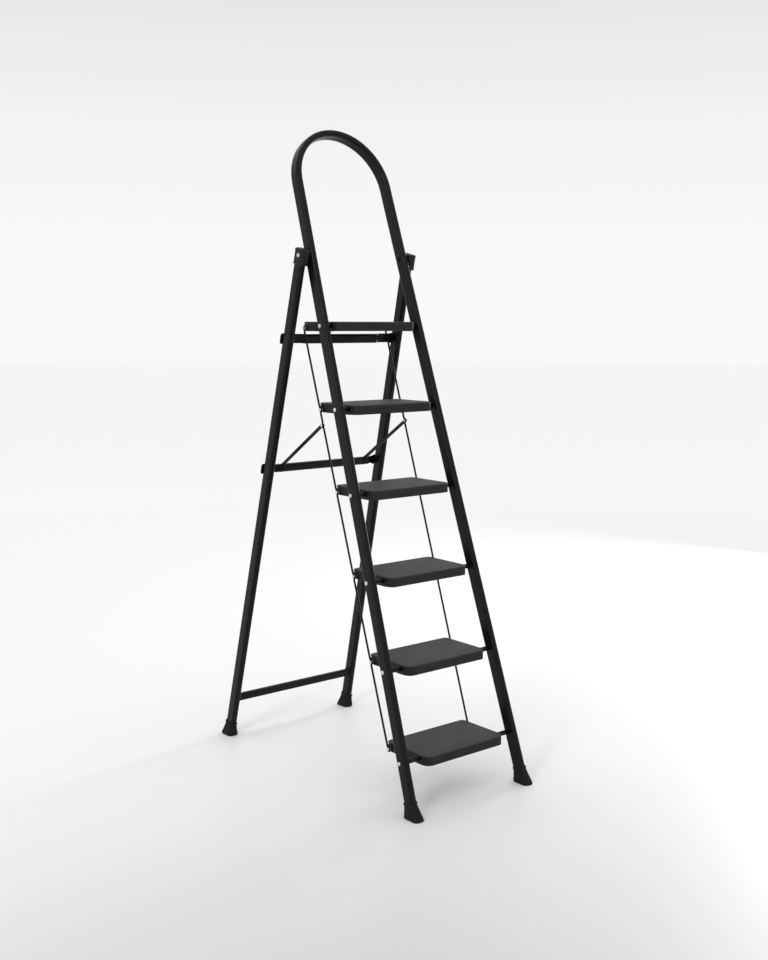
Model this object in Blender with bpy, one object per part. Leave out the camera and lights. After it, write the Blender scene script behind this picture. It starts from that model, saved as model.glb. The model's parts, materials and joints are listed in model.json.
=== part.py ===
"""Six-step folding library ladder: hooped front frame, hinged rear frame, folding treads.

Metres, +Z up, the climbing side faces -Y and the floor is z = 0.
"""

import math

import bmesh
import bpy

# overall layout
STEPS = 6
RISE = 0.235
FIRST_TREAD_TOP = 0.153
FOOT_SPREAD = 0.888
HINGE_Z = 1.5156
HINGE_BEHIND_STILE = 0.0015
CLEARANCE = 0.0003

# front frame: lean and taper per metre of height
FRONT_SLOPE = 0.3371
FRONT_HALF_WIDTH = 0.2091
FRONT_TAPER = 0.0259
CROWN_CENTRE_S = 1.9876

# rear frame
REAR_SLOPE = 0.2439
REAR_HALF_WIDTH = 0.2353
REAR_TAPER = 0.0238

# flat-oval tube
TUBE_HALF_WIDTH = 0.010
TUBE_HALF_DEPTH = 0.019
TUBE_CORNER = 0.008
TUBE_WALL = 0.0012
TUBE_START = 0.016
CORNER_POINTS = 4
HOOP_RINGS = 18

# feet
FOOT_HEIGHT = 0.043
FOOT_WALL = 0.0019
FOOT_TOE = 0.0315
FOOT_HEEL = 0.0270
FOOT_HALF_WIDTH = 0.0178
FOOT_CORNER = 0.0095
# (height, flare) as shares, from the sole to the collar
FOOT_PROFILE = (
    (0.0, 0.97), (0.05, 1.0), (0.16, 0.92), (0.34, 0.55),
    (0.55, 0.24), (0.78, 0.06), (0.97, 0.0), (1.0, -0.08),
)

# hinge cap and pivot
CAP_HALF_WIDTH = 0.0130
CAP_HALF_DEPTH = 0.0215
CAP_CORNER = 0.010
CAP_BELOW_HINGE = 0.027
CAP_ABOVE_HINGE = 0.021
CAP_ROOF = 0.008
CAP_EDGE = 0.003
BOSS_RADIUS = 0.011
PIVOT_RADIUS = 0.004
PIVOT_HOLE = 0.0043
PIVOT_HEAD = 0.006
HEAD_HEIGHT = 0.003

# rear crossbars: height of the centre line, then the section
TOP_BAR_Z = 1.277
MIDDLE_BAR_Z = 0.880
BOTTOM_BAR_Z = 0.128
BAR_HALF_HEIGHT = 0.0125
BAR_FRONT = 0.009
BAR_REAR = 0.0245
BAR_CORNER = 0.006
BAR_WALL = 0.0014
TAB_THICKNESS = 0.003
TAB_HALF_HEIGHT = 0.0160
TAB_OVERHANG = 0.005
TAB_CORNER = 0.005
# the flat part of each end, and its slope, in from the leg; the top bar stays flat past the rods
TOP_FLAT = 0.043
MIDDLE_FLAT = 0.008
FLAT_SLOPE = 0.022
BOTTOM_BAR_HALF_DEPTH = 0.0085
COLLAR_LENGTH = 0.005
COLLAR_LIP = 0.0025
DRAIN_RADIUS = 0.0025
DRAIN_X = 0.080

# treads, measured from the step pivot
PIVOT_BELOW_TOP = 0.0125
PIVOT_BEHIND_STILE = 0.0055
TREAD_HALF_LENGTH = 0.147
TREAD_FRONT = -0.0376
TREAD_REAR = 0.138
TREAD_DROP = 0.0155
TREAD_FRONT_CORNER = 0.022
TREAD_REAR_CORNER = 0.012
TREAD_EDGE = 0.003
TREAD_LOWER_EDGE = 0.0008
TREAD_SLAB = 0.004
TREAD_WALL = 0.004
RIB_X = 0.043
RIB_HALF = 0.0016
POCKET_HALF_LENGTH = 0.1285
ARM_SEAT_X = 0.1320
ARM_SEAT_FRONT = -0.0145
ARM_SEAT_TOP = 0.0070

# steel side arms of the steps
ARM_INNER = 0.1445
ARM_OUTER = 0.1470
ARM_FLANGE_INNER = 0.1325
ARM_FLANGE_THICKNESS = 0.0020
ARM_REAR_BEYOND_ROD = 0.009

# rods that tie the rear ends of the steps together
ROD_Y = 0.1213
ROD_Z = -0.0075
ROD_X = 0.1545
ROD_RADIUS = 0.003
ROD_POINTS = 10
EYE_HALF_WIDTH = 0.0062
EYE_LENGTH = 0.009
PIN_RADIUS = 0.0023
PIN_HOLE = 0.0026
PIN_HEAD = 0.0045
PIN_HEAD_HEIGHT = 0.0024

# diagonal links from the rods to the middle crossbar
LINK_INNER = 0.1580
LINK_OUTER = 0.1608
LINK_HALF_WIDTH = 0.0052
LINK_TOP_S = 0.4740
LINK_BOTTOM_RISE = 0.0040
LINK_BOTTOM_DEPTH = 0.0175
LUG_INNER = 0.1612
LUG_OUTER = 0.1632
NOTCH_INNER = 0.1570
NOTCH_FLOOR = -0.0025

AXLE_SPACER_RADIUS = 0.0065
AXLE_SPACER_START = 0.1474
PIVOT_SEGMENTS = 14
PIN_SEGMENTS = 10
LINK_END_POINTS = 9
DRILL_REACH = 0.05
OVERRUN = 0.001


class Plane:
    """A leaning frame plane: s runs up the slope, b out of its rear side."""

    def __init__(self, foot_y, slope, half_width, taper):
        self.foot_y = foot_y
        self.angle = math.atan(slope)
        self.sin = math.sin(self.angle)
        self.cos = math.cos(self.angle)
        self.half_width = half_width
        self.taper = taper * self.cos

    def world(self, x, s, b):
        return (x, self.foot_y + s * self.sin + b * self.cos, s * self.cos - b * self.sin)

    def local(self, y, z):
        dy = y - self.foot_y
        return dy * self.sin + z * self.cos, dy * self.cos - z * self.sin

    def centre_x(self, s):
        return self.half_width - self.taper * s


FRONT = Plane(-FOOT_SPREAD / 2, FRONT_SLOPE, FRONT_HALF_WIDTH, FRONT_TAPER)
REAR = Plane(FOOT_SPREAD / 2, -REAR_SLOPE, REAR_HALF_WIDTH, REAR_TAPER)
HINGE_Y = FRONT.foot_y + FRONT_SLOPE * HINGE_Z + HINGE_BEHIND_STILE
SIDES = (("left", -1), ("right", 1))


# ---------------------------------------------------------------- meshes


def clear_scene():
    for obj in list(bpy.data.objects):
        bpy.data.objects.remove(obj, do_unlink=True)


def make_material(name, colour, roughness, metallic):
    material = bpy.data.materials.new(name)
    material.use_nodes = True
    shader = material.node_tree.nodes["Principled BSDF"]
    shader.inputs["Base Color"].default_value = (*colour, 1.0)
    shader.inputs["Roughness"].default_value = roughness
    shader.inputs["Metallic"].default_value = metallic
    return material


def mesh_object(name, parts, material=None):
    """One object from (points, faces) parts, with outward normals and smooth round sides."""
    mesh = bpy.data.meshes.new(name)
    bm = bmesh.new()
    for points, faces in parts:
        verts = [bm.verts.new(point) for point in points]
        for face in faces:
            bm.faces.new([verts[i] for i in face])
    bmesh.ops.recalc_face_normals(bm, faces=bm.faces)
    bm.to_mesh(mesh)
    bm.free()
    obj = bpy.data.objects.new(name, mesh)
    bpy.context.scene.collection.objects.link(obj)
    if material:
        mesh.materials.append(material)
        shade(mesh)
    return obj


def shade(mesh):
    mesh.shade_smooth()
    mesh.set_sharp_from_angle(angle=math.radians(35))


def combine(obj, parts, operation):
    """Cut the parts from the object, or join them to it."""
    tool = mesh_object("tool", parts)
    modifier = obj.modifiers.new("tool", "BOOLEAN")
    modifier.operation = operation
    modifier.solver = "EXACT"
    modifier.object = tool
    graph = bpy.context.evaluated_depsgraph_get()
    graph.update()
    result = bpy.data.meshes.new_from_object(obj.evaluated_get(graph))
    obj.modifiers.clear()
    old = obj.data
    name = old.name
    obj.data = result
    bpy.data.meshes.remove(old)
    result.name = name
    bpy.data.objects.remove(tool, do_unlink=True)
    tidy(result)
    shade(result)


def tidy(mesh):
    bm = bmesh.new()
    bm.from_mesh(mesh)
    bmesh.ops.remove_doubles(bm, verts=bm.verts, dist=1e-6)
    bmesh.ops.dissolve_degenerate(bm, edges=bm.edges, dist=1e-6)
    bmesh.ops.triangulate(bm, faces=[face for face in bm.faces if len(face.verts) > 4])
    bm.to_mesh(mesh)
    bm.free()


def loft(rings, capped=True):
    """Skin rings of equal length, with flat ends."""
    count = len(rings[0])
    points = [point for ring in rings for point in ring]
    faces = []
    for level in range(len(rings) - 1):
        low = level * count
        high = low + count
        for i in range(count):
            j = (i + 1) % count
            faces.append((low + i, low + j, high + j, high + i))
    if capped:
        faces.append(tuple(range(count)))
        last = (len(rings) - 1) * count
        faces.append(tuple(last + i for i in range(count)))
    return points, faces


def pipe(outer, inner):
    """A hollow loft that is open at both ends."""
    count = len(outer[0])
    points, faces = loft(outer, capped=False)
    inner_points, inner_faces = loft(inner, capped=False)
    offset = len(points)
    points = points + inner_points
    faces += [tuple(offset + i for i in face) for face in inner_faces]
    ends = ((0, offset), (offset - count, offset + (len(inner) - 1) * count))
    for first_outer, first_inner in ends:
        for i in range(count):
            j = (i + 1) % count
            faces.append((first_outer + i, first_outer + j, first_inner + j, first_inner + i))
    return points, faces


def box(low, high):
    points = [
        (x, y, z) for z in (low[2], high[2]) for x, y in
        ((low[0], low[1]), (high[0], low[1]), (high[0], high[1]), (low[0], high[1]))
    ]
    return loft([points[:4], points[4:]])


def mirrored_box(side, inner, outer, low, high):
    """A box between two distances from the middle, on one side of the ladder."""
    x0, x1 = sorted((side * inner, side * outer))
    return box((x0, low[0], low[1]), (x1, high[0], high[1]))


def rounded_outline(a0, a1, b0, b1, radii, points=CORNER_POINTS):
    """Counter-clockwise rounded rectangle; radii start at the low-a, low-b corner."""
    outline = []
    corners = ((a0, b0, 1, 1), (a1, b0, -1, 1), (a1, b1, -1, -1), (a0, b1, 1, -1))
    for index, (a, b, in_a, in_b) in enumerate(corners):
        radius = radii[index]
        centre_a = a + in_a * radius
        centre_b = b + in_b * radius
        start = math.pi + index * math.pi / 2
        for step in range(points):
            turn = start + step * math.pi / 2 / (points - 1)
            outline.append((centre_a + radius * math.cos(turn), centre_b + radius * math.sin(turn)))
    return outline


def rounded(half_a, half_b, radius, points=CORNER_POINTS):
    return rounded_outline(-half_a, half_a, -half_b, half_b, (radius,) * 4, points)


def turned(profile, side, y, z, segments):
    """Turn (distance from the middle, radius) pairs about a line along X."""
    rings = []
    for x, radius in profile:
        ring = []
        for i in range(segments):
            turn = 2 * math.pi * i / segments
            ring.append((side * x, y + radius * math.cos(turn), z + radius * math.sin(turn)))
        rings.append(ring)
    return loft(rings)


def drill(y, z, radius, x0, x1, segments):
    return turned([(x0, radius), (x1, radius)], 1, y, z, segments)


def plate(outline, x0, x1):
    """A flat plate between two X planes from a (y, z) outline."""
    return loft([[(x, y, z) for y, z in outline] for x in (x0, x1)])


def head(face, height, radius):
    """Profile of a domed rivet head that stands on a face, from the face outwards."""
    return [(face, radius), (face + 0.5 * height, 0.95 * radius), (face + height, 0.6 * radius)]


def inward_head(face, height, radius):
    """The same head on the side that looks to the middle, from its crown to the face."""
    return [(2 * face - x, r) for x, r in reversed(head(face, height, radius))]


# ---------------------------------------------------------------- positions


def step_pivot(index):
    """(y, z) of the pivot of a step, counted from the floor."""
    z = FIRST_TREAD_TOP + RISE * index - PIVOT_BELOW_TOP
    y = FRONT.foot_y + FRONT_SLOPE * z + PIVOT_BEHIND_STILE / FRONT.cos
    return y, z


def rod_point(along):
    """(y, z) on the rod, a distance down the slope from the hinge."""
    y, z = step_pivot(0)
    _, b = FRONT.local(y + ROD_Y, z + ROD_Z)
    hinge_s, _ = FRONT.local(HINGE_Y, HINGE_Z)
    return FRONT.world(0, hinge_s - along, b)[1:]


def bar_s(z):
    return z / REAR.cos


def link_bottom():
    s = bar_s(MIDDLE_BAR_Z + LINK_BOTTOM_RISE)
    return REAR.world(0, s, LINK_BOTTOM_DEPTH)[1:]


# ---------------------------------------------------------------- front frame


def hoop_path():
    """Centre line of the front tube as (x, s, unit normal x, unit normal s)."""
    tilt = math.atan(FRONT.taper)
    lever = math.cos(tilt) - FRONT.taper * (1 - math.sin(tilt))
    radius = (FRONT_HALF_WIDTH - FRONT.taper * CROWN_CENTRE_S) / lever
    centre = CROWN_CENTRE_S - radius
    path = [(FRONT.centre_x(TUBE_START), TUBE_START, math.cos(tilt), math.sin(tilt))]
    for i in range(HOOP_RINGS + 1):
        turn = tilt + (math.pi - 2 * tilt) * i / HOOP_RINGS
        nx, ns = math.cos(turn), math.sin(turn)
        path.append((radius * nx, centre + radius * ns, nx, ns))
    path.append((-path[0][0], TUBE_START, -math.cos(tilt), math.sin(tilt)))
    return path


def hoop_rings(shrink):
    section = rounded(TUBE_HALF_WIDTH - shrink, TUBE_HALF_DEPTH - shrink, TUBE_CORNER - shrink)
    return [
        [FRONT.world(x + a * nx, s + a * ns, b) for a, b in section]
        for x, s, nx, ns in hoop_path()
    ]


def build_front_tube(paint):
    tube = mesh_object("front_tube", [pipe(hoop_rings(0.0), hoop_rings(TUBE_WALL))], paint)
    reach = FRONT_HALF_WIDTH + DRILL_REACH
    bores = [step_pivot(index) for index in range(STEPS)] + [(HINGE_Y, HINGE_Z)]
    drills = [drill(y, z, PIVOT_HOLE, -reach, reach, PIVOT_SEGMENTS) for y, z in bores]
    combine(tube, drills, "DIFFERENCE")


def leg_rings(plane, side, s_values, grow):
    section = rounded(TUBE_HALF_WIDTH + grow, TUBE_HALF_DEPTH + grow, TUBE_CORNER + grow)
    return [
        [plane.world(side * plane.centre_x(s) + a, s, b) for a, b in section]
        for s in s_values
    ]


def foot_outline(flare, outward):
    """Outline of a foot in (x, b): flare is 0 at the collar and 1 at the sole."""
    collar = TUBE_HALF_DEPTH + FOOT_WALL
    half_x = TUBE_HALF_WIDTH + FOOT_WALL
    half_x += (FOOT_HALF_WIDTH - half_x) * flare
    toe = collar + (FOOT_TOE - collar) * flare
    heel = collar + (FOOT_HEEL - collar) * flare
    low, high = (-toe, heel) if outward < 0 else (-heel, toe)
    return rounded_outline(-half_x, half_x, low, high, (FOOT_CORNER,) * 4)


def build_foot(name, plane, side, rubber):
    outward = -1 if plane is FRONT else 1
    rings = []
    for height, flare in FOOT_PROFILE:
        ring = []
        for a, b in foot_outline(flare, outward):
            b *= plane.cos
            sole = b * math.tan(plane.angle)
            s = sole + (FOOT_HEIGHT - sole) * height
            ring.append(plane.world(side * plane.centre_x(s) + a, s, b))
        rings.append(ring)
    foot = mesh_object(name, [loft(rings)], rubber)
    pocket = leg_rings(plane, side, (TUBE_START - CLEARANCE, 2 * FOOT_HEIGHT), CLEARANCE)
    combine(foot, [loft(pocket)], "DIFFERENCE")


# ---------------------------------------------------------------- rear frame


def hinge_on_leg():
    return REAR.local(HINGE_Y, HINGE_Z)


def leg_top():
    return hinge_on_leg()[0] + CAP_ABOVE_HINGE - CAP_ROOF


def hinge_drill(side):
    """A drill for the hinge bore through one rear leg and its cap."""
    x = side * REAR.centre_x(leg_top())
    return drill(HINGE_Y, HINGE_Z, PIVOT_HOLE, x - DRILL_REACH, x + DRILL_REACH, PIVOT_SEGMENTS)


def build_rear_leg(name, side, paint):
    ends = (TUBE_START, leg_top())
    outer = leg_rings(REAR, side, ends, 0.0)
    inner = leg_rings(REAR, side, ends, -TUBE_WALL)
    leg = mesh_object(name, [pipe(outer, inner)], paint)
    combine(leg, [hinge_drill(side)], "DIFFERENCE")


def build_cap(name, side, plastic):
    hinge_s, _ = hinge_on_leg()
    low = hinge_s - CAP_BELOW_HINGE
    high = hinge_s + CAP_ABOVE_HINGE
    edges = (
        (low, 0.3 * CAP_EDGE), (low + 0.3 * CAP_EDGE, 0.0), (high - CAP_EDGE, 0.0),
        (high - 0.3 * CAP_EDGE, 0.3 * CAP_EDGE), (high, CAP_EDGE),
    )
    rings = []
    for s, inset in edges:
        section = rounded(CAP_HALF_WIDTH - inset, CAP_HALF_DEPTH - inset, CAP_CORNER - inset)
        x = side * REAR.centre_x(s)
        rings.append([REAR.world(x + a, s, b) for a, b in section])
    cap = mesh_object(name, [loft(rings)], plastic)
    stile_face = FRONT.centre_x(FRONT.local(HINGE_Y, HINGE_Z)[0]) + TUBE_HALF_WIDTH
    profile = [(stile_face + 2 * CLEARANCE, BOSS_RADIUS), (REAR.centre_x(hinge_s), BOSS_RADIUS)]
    combine(cap, [turned(profile, side, HINGE_Y, HINGE_Z, PIVOT_SEGMENTS)], "UNION")
    pocket = leg_rings(REAR, side, (low - CAP_ROOF, leg_top() + CLEARANCE), CLEARANCE)
    combine(cap, [loft(pocket)], "DIFFERENCE")
    combine(cap, [hinge_drill(side)], "DIFFERENCE")


def build_hinge_rivet(name, side, steel):
    inner = FRONT.centre_x(FRONT.local(HINGE_Y, HINGE_Z)[0]) - TUBE_HALF_WIDTH - CLEARANCE
    outer = REAR.centre_x(hinge_on_leg()[0]) + CAP_HALF_WIDTH + CLEARANCE
    profile = inward_head(inner, HEAD_HEIGHT, PIVOT_HEAD)
    profile += [(inner, PIVOT_RADIUS), (outer, PIVOT_RADIUS)]
    profile += head(outer, HEAD_HEIGHT, PIVOT_HEAD)
    mesh_object(name, [turned(profile, side, HINGE_Y, HINGE_Z, PIVOT_SEGMENTS)], steel)


def bar_ring(x, s, low, high, half_height, corner):
    """Ring of a crossbar at x; the ring follows the taper of the legs in height."""
    outline = rounded_outline(-half_height, half_height, low, high, (corner,) * 4)
    ring = []
    for ds, b in outline:
        shift = -math.copysign(REAR.taper * ds, x)
        ring.append(REAR.world(x + shift, s + ds, b))
    return ring


def blend(first, last, share):
    return first + (last - first) * share


def build_upper_bar(name, z, flat, paint):
    """A pressed tube whose flattened ends lie on the rear faces of the legs."""
    s = bar_s(z)
    leg_x = REAR.centre_x(s)
    inner_face = leg_x - TUBE_HALF_WIDTH
    tip = leg_x + TUBE_HALF_WIDTH + TAB_OVERHANG
    tab_low = TUBE_HALF_DEPTH + CLEARANCE
    tab_high = tab_low + TAB_THICKNESS
    stations = [
        (tip, tab_low, tab_high, TAB_HALF_HEIGHT - TAB_CORNER),
        (tip - 0.3 * TAB_CORNER, tab_low, tab_high, TAB_HALF_HEIGHT - 0.3 * TAB_CORNER),
        (tip - TAB_CORNER, tab_low, tab_high, TAB_HALF_HEIGHT),
    ]
    for share in (0.0, 0.35, 0.75, 1.0):
        x = inner_face - flat - share * FLAT_SLOPE
        rear = tab_high if share < 0.5 else BAR_REAR
        half_height = blend(TAB_HALF_HEIGHT, BAR_HALF_HEIGHT, share)
        stations.append((x, blend(tab_low, BAR_FRONT, share), rear, half_height))
    rings = []
    for side in (-1, 1):
        for x, low, high, half_height in stations if side < 0 else reversed(stations):
            corner = min(BAR_CORNER, 0.48 * (high - low))
            rings.append(bar_ring(side * x, s, low, high, half_height, corner))
    bar = mesh_object(name, [loft(rings)], paint)
    front = BAR_FRONT + BAR_WALL
    rear = BAR_REAR - BAR_WALL
    reach = inner_face - flat - FLAT_SLOPE
    hollow = [
        bar_ring(x, s, front, rear, BAR_HALF_HEIGHT - BAR_WALL, BAR_CORNER - BAR_WALL)
        for x in (-reach, reach)
    ]
    combine(bar, [loft(hollow)], "DIFFERENCE")
    return bar, s


def drain_holes(s):
    """Two short drills through the underside of a crossbar."""
    middle = (BAR_FRONT + BAR_REAR) / 2
    parts = []
    for side in (-1, 1):
        rings = []
        for depth in (-2 * BAR_HALF_HEIGHT, -BAR_HALF_HEIGHT + 2 * BAR_WALL):
            ring = []
            for i in range(PIN_SEGMENTS):
                turn = 2 * math.pi * i / PIN_SEGMENTS
                x = side * DRAIN_X + DRAIN_RADIUS * math.cos(turn)
                ring.append(REAR.world(x, s + depth, middle + DRAIN_RADIUS * math.sin(turn)))
            rings.append(ring)
        parts.append(loft(rings))
    return parts


def bar_block(side, inner, outer, s_span, b_span):
    """A block set square to the rear frame, on one side of the ladder."""
    corners = [(s, b) for b in b_span for s in s_span]
    corners[2:] = reversed(corners[2:])
    rings = []
    for x in (side * inner, side * outer):
        rings.append([REAR.world(x, s, b) for s, b in corners])
    return loft(rings)


def build_top_bar(paint):
    bar, s = build_upper_bar("crossbar_top", TOP_BAR_Z, TOP_FLAT, paint)
    combine(bar, drain_holes(s), "DIFFERENCE")


def build_middle_bar(paint):
    """The middle crossbar carries a lug on each side, behind a notch for the diagonal link."""
    bar, s = build_upper_bar("crossbar_middle", MIDDLE_BAR_Z, MIDDLE_FLAT, paint)
    y, z = link_bottom()
    lugs = []
    notches = []
    bores = []
    bite = BAR_WALL / 2
    lug_s = (s - 0.6 * BAR_HALF_HEIGHT, s + BAR_HALF_HEIGHT - bite)
    lug_b = (BAR_FRONT + bite, BAR_REAR - bite)
    notch_s = (s + NOTCH_FLOOR, s + 2 * BAR_HALF_HEIGHT)
    notch_b = (0.0, BAR_REAR - BAR_WALL)
    for _, side in SIDES:
        lugs.append(bar_block(side, LUG_INNER, LUG_OUTER, lug_s, lug_b))
        notches.append(bar_block(side, NOTCH_INNER, LUG_INNER, notch_s, notch_b))
        ends = (side * (LUG_INNER - BAR_WALL), side * (LUG_OUTER + BAR_WALL))
        bores.append(drill(y, z, PIN_HOLE, *ends, PIN_SEGMENTS))
    combine(bar, lugs, "UNION")
    combine(bar, notches, "DIFFERENCE")
    combine(bar, bores, "DIFFERENCE")


def build_bottom_bar(paint):
    """A straight tube with a collar at each end, between the legs."""
    s = bar_s(BOTTOM_BAR_Z)
    end = REAR.centre_x(s) - TUBE_HALF_WIDTH - CLEARANCE
    stations = ((end, COLLAR_LIP), (end - COLLAR_LENGTH, COLLAR_LIP), (end - COLLAR_LENGTH, 0.0))
    outer = []
    for side in (-1, 1):
        for x, lip in stations if side < 0 else reversed(stations):
            depth = BOTTOM_BAR_HALF_DEPTH + lip
            outer.append(bar_ring(side * x, s, -depth, depth, BAR_HALF_HEIGHT + lip, BAR_CORNER))
    depth = BOTTOM_BAR_HALF_DEPTH - BAR_WALL
    inner = [
        bar_ring(x, s, -depth, depth, BAR_HALF_HEIGHT - BAR_WALL, BAR_CORNER - BAR_WALL)
        for x in (-end, end)
    ]
    mesh_object("crossbar_bottom", [pipe(outer, inner)], paint)


# ---------------------------------------------------------------- steps


def build_tread(index, plastic):
    y, z = step_pivot(index)
    radii = (TREAD_FRONT_CORNER, TREAD_FRONT_CORNER, TREAD_REAR_CORNER, TREAD_REAR_CORNER)
    rings = []
    levels = (
        (-TREAD_DROP, TREAD_LOWER_EDGE),
        (TREAD_LOWER_EDGE - TREAD_DROP, 0.0),
        (PIVOT_BELOW_TOP - TREAD_EDGE, 0.0),
        (PIVOT_BELOW_TOP - 0.3 * TREAD_EDGE, 0.3 * TREAD_EDGE),
        (PIVOT_BELOW_TOP, TREAD_EDGE),
    )
    for height, inset in levels:
        half = TREAD_HALF_LENGTH - inset
        corners = [radius - inset for radius in radii]
        outline = rounded_outline(-half, half, TREAD_FRONT + inset, TREAD_REAR - inset, corners)
        rings.append([(a, y + b, z + height) for a, b in outline])
    tread = mesh_object(f"tread_{index + 1}", [loft(rings)], plastic)
    ceiling = PIVOT_BELOW_TOP - TREAD_SLAB
    under = -2 * TREAD_DROP
    pockets = (
        (-POCKET_HALF_LENGTH, -RIB_X - RIB_HALF),
        (-RIB_X + RIB_HALF, RIB_X - RIB_HALF),
        (RIB_X + RIB_HALF, POCKET_HALF_LENGTH),
    )
    cutters = []
    for x0, x1 in pockets:
        low = (x0, y + TREAD_FRONT + TREAD_WALL, z + under)
        high = (x1, y + TREAD_REAR - TREAD_WALL, z + ceiling)
        cutters.append(box(low, high))
    reach = 2 * TREAD_HALF_LENGTH
    seat_low = (y + ARM_SEAT_FRONT, z + under)
    seat_high = (y + 2 * TREAD_REAR, z + ARM_SEAT_TOP)
    for _, side in SIDES:
        cutters.append(mirrored_box(side, ARM_SEAT_X, reach, seat_low, seat_high))
    combine(tread, cutters, "DIFFERENCE")
    bore = drill(y, z, PIVOT_RADIUS + CLEARANCE, -reach, reach, PIVOT_SEGMENTS)
    combine(tread, [bore], "DIFFERENCE")


def build_arm(name, index, side, paint):
    """An angle section under the edge of the tread, bored for the pivot and the rod pin."""
    y, z = step_pivot(index)
    top = ARM_SEAT_TOP - CLEARANCE
    shelf = top - ARM_FLANGE_THICKNESS
    profile = ((ARM_OUTER, -TREAD_DROP), (ARM_OUTER, top), (ARM_FLANGE_INNER, top),
               (ARM_FLANGE_INNER, shelf), (ARM_INNER, shelf), (ARM_INNER, -TREAD_DROP))
    ends = (ARM_SEAT_FRONT + CLEARANCE, ROD_Y + ARM_REAR_BEYOND_ROD)
    rings = [[(side * x, y + dy, z + dz) for x, dz in profile] for dy in ends]
    arm = mesh_object(name, [loft(rings)], paint)
    reach = (side * (ARM_INNER - OVERRUN), side * (ARM_OUTER + OVERRUN))
    cutters = [
        drill(y, z, PIVOT_RADIUS + CLEARANCE, *reach, PIVOT_SEGMENTS),
        drill(y + ROD_Y, z + ROD_Z, PIN_HOLE, *reach, PIN_SEGMENTS),
    ]
    combine(arm, cutters, "DIFFERENCE")


def build_axle(index, steel):
    """One steel axle through both stiles, with riveted ends and a spacer on each side."""
    y, z = step_pivot(index)
    stile = FRONT.centre_x(FRONT.local(y, z)[0])
    outer = stile + TUBE_HALF_WIDTH + CLEARANCE
    spacer_end = stile - TUBE_HALF_WIDTH - 2 * CLEARANCE
    half = [
        (AXLE_SPACER_START, PIVOT_RADIUS),
        (AXLE_SPACER_START, AXLE_SPACER_RADIUS),
        (spacer_end, AXLE_SPACER_RADIUS),
        (spacer_end, PIVOT_RADIUS),
        (outer, PIVOT_RADIUS),
    ] + head(outer, HEAD_HEIGHT, PIVOT_HEAD)
    profile = [(-x, r) for x, r in reversed(half)] + half
    mesh_object(f"axle_{index + 1}", [turned(profile, 1, y, z, PIVOT_SEGMENTS)], steel)


# ---------------------------------------------------------------- rods and links


def eye_stations(s, offset):
    """(s, half width, half thickness, x offset) of a flattened eye centred at s."""
    thin = ROD_RADIUS / 2
    narrow = 0.78 * EYE_HALF_WIDTH
    shape = (
        (-1.0, ROD_RADIUS, ROD_RADIUS, 0.0),
        (-0.62, narrow, thin, offset),
        (-0.3, EYE_HALF_WIDTH, thin, offset),
        (0.3, EYE_HALF_WIDTH, thin, offset),
        (0.62, narrow, thin, offset),
        (1.0, ROD_RADIUS, ROD_RADIUS, 0.0),
    )
    return [(s + EYE_LENGTH * along, wide, thick, dx) for along, wide, thick, dx in shape]


def build_rod(name, side, paint):
    """A round rod with a flattened eye at every step and one for the diagonal link."""
    pins = []
    for index in range(STEPS):
        y, z = step_pivot(index)
        pins.append((y + ROD_Y, z + ROD_Z))
    eyes = [(FRONT.local(*pin), -side * ROD_RADIUS / 2) for pin in pins]
    link = rod_point(LINK_TOP_S)
    eyes.append((FRONT.local(*link), side * ROD_RADIUS / 2))
    eyes.sort()
    b = eyes[0][0][1]
    stations = [station for (s, _), offset in eyes for station in eye_stations(s, offset)]
    rings = []
    for s, wide, thick, dx in stations:
        ring = []
        for i in range(ROD_POINTS):
            turn = 2 * math.pi * (i + 0.5) / ROD_POINTS
            a = thick * math.cos(turn) / math.cos(math.pi / ROD_POINTS)
            ring.append(FRONT.world(side * ROD_X + dx + a, s, b + wide * math.sin(turn)))
        rings.append(ring)
    rod = mesh_object(name, [loft(rings)], paint)
    reach = (side * (ROD_X - EYE_LENGTH), side * (ROD_X + EYE_LENGTH))
    combine(rod, [drill(y, z, PIN_HOLE, *reach, PIN_SEGMENTS) for y, z in pins + [link]], "DIFFERENCE")


def build_rod_pin(name, index, side, steel):
    """Rivet through a step arm and the rod's eye, with a shoulder between them."""
    y, z = step_pivot(index)
    inner = ARM_INNER - CLEARANCE
    eye_outer = ROD_X + CLEARANCE * 2
    shoulder_end = ROD_X - ROD_RADIUS - 2 * CLEARANCE
    profile = inward_head(inner, PIN_HEAD_HEIGHT, PIN_HEAD)
    profile += [
        (inner, PIN_RADIUS),
        (ARM_OUTER + CLEARANCE, PIN_RADIUS),
        (ARM_OUTER + CLEARANCE, PIN_HEAD),
        (shoulder_end, PIN_HEAD),
        (shoulder_end, PIN_RADIUS),
        (eye_outer, PIN_RADIUS),
    ]
    profile += head(eye_outer, PIN_HEAD_HEIGHT, PIN_HEAD)
    mesh_object(name, [turned(profile, side, y + ROD_Y, z + ROD_Z, PIN_SEGMENTS)], steel)


def build_link(name, side, paint):
    top = rod_point(LINK_TOP_S)
    bottom = link_bottom()
    direction = math.atan2(top[1] - bottom[1], top[0] - bottom[0])
    outline = []
    for (y, z), start in ((top, direction - math.pi / 2), (bottom, direction + math.pi / 2)):
        for i in range(LINK_END_POINTS):
            turn = start + math.pi * i / (LINK_END_POINTS - 1)
            across = LINK_HALF_WIDTH * math.cos(turn)
            along = LINK_HALF_WIDTH * math.sin(turn)
            outline.append((y + across, z + along))
    link = mesh_object(name, [plate(outline, side * LINK_INNER, side * LINK_OUTER)], paint)
    reach = (side * (LINK_INNER - OVERRUN), side * (LINK_OUTER + OVERRUN))
    combine(link, [drill(y, z, PIN_HOLE, *reach, PIN_SEGMENTS) for y, z in (top, bottom)], "DIFFERENCE")


def pin_object(name, side, centre, profile, steel):
    y, z = centre
    mesh_object(name, [turned(profile, side, y, z, PIN_SEGMENTS)], steel)


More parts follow.
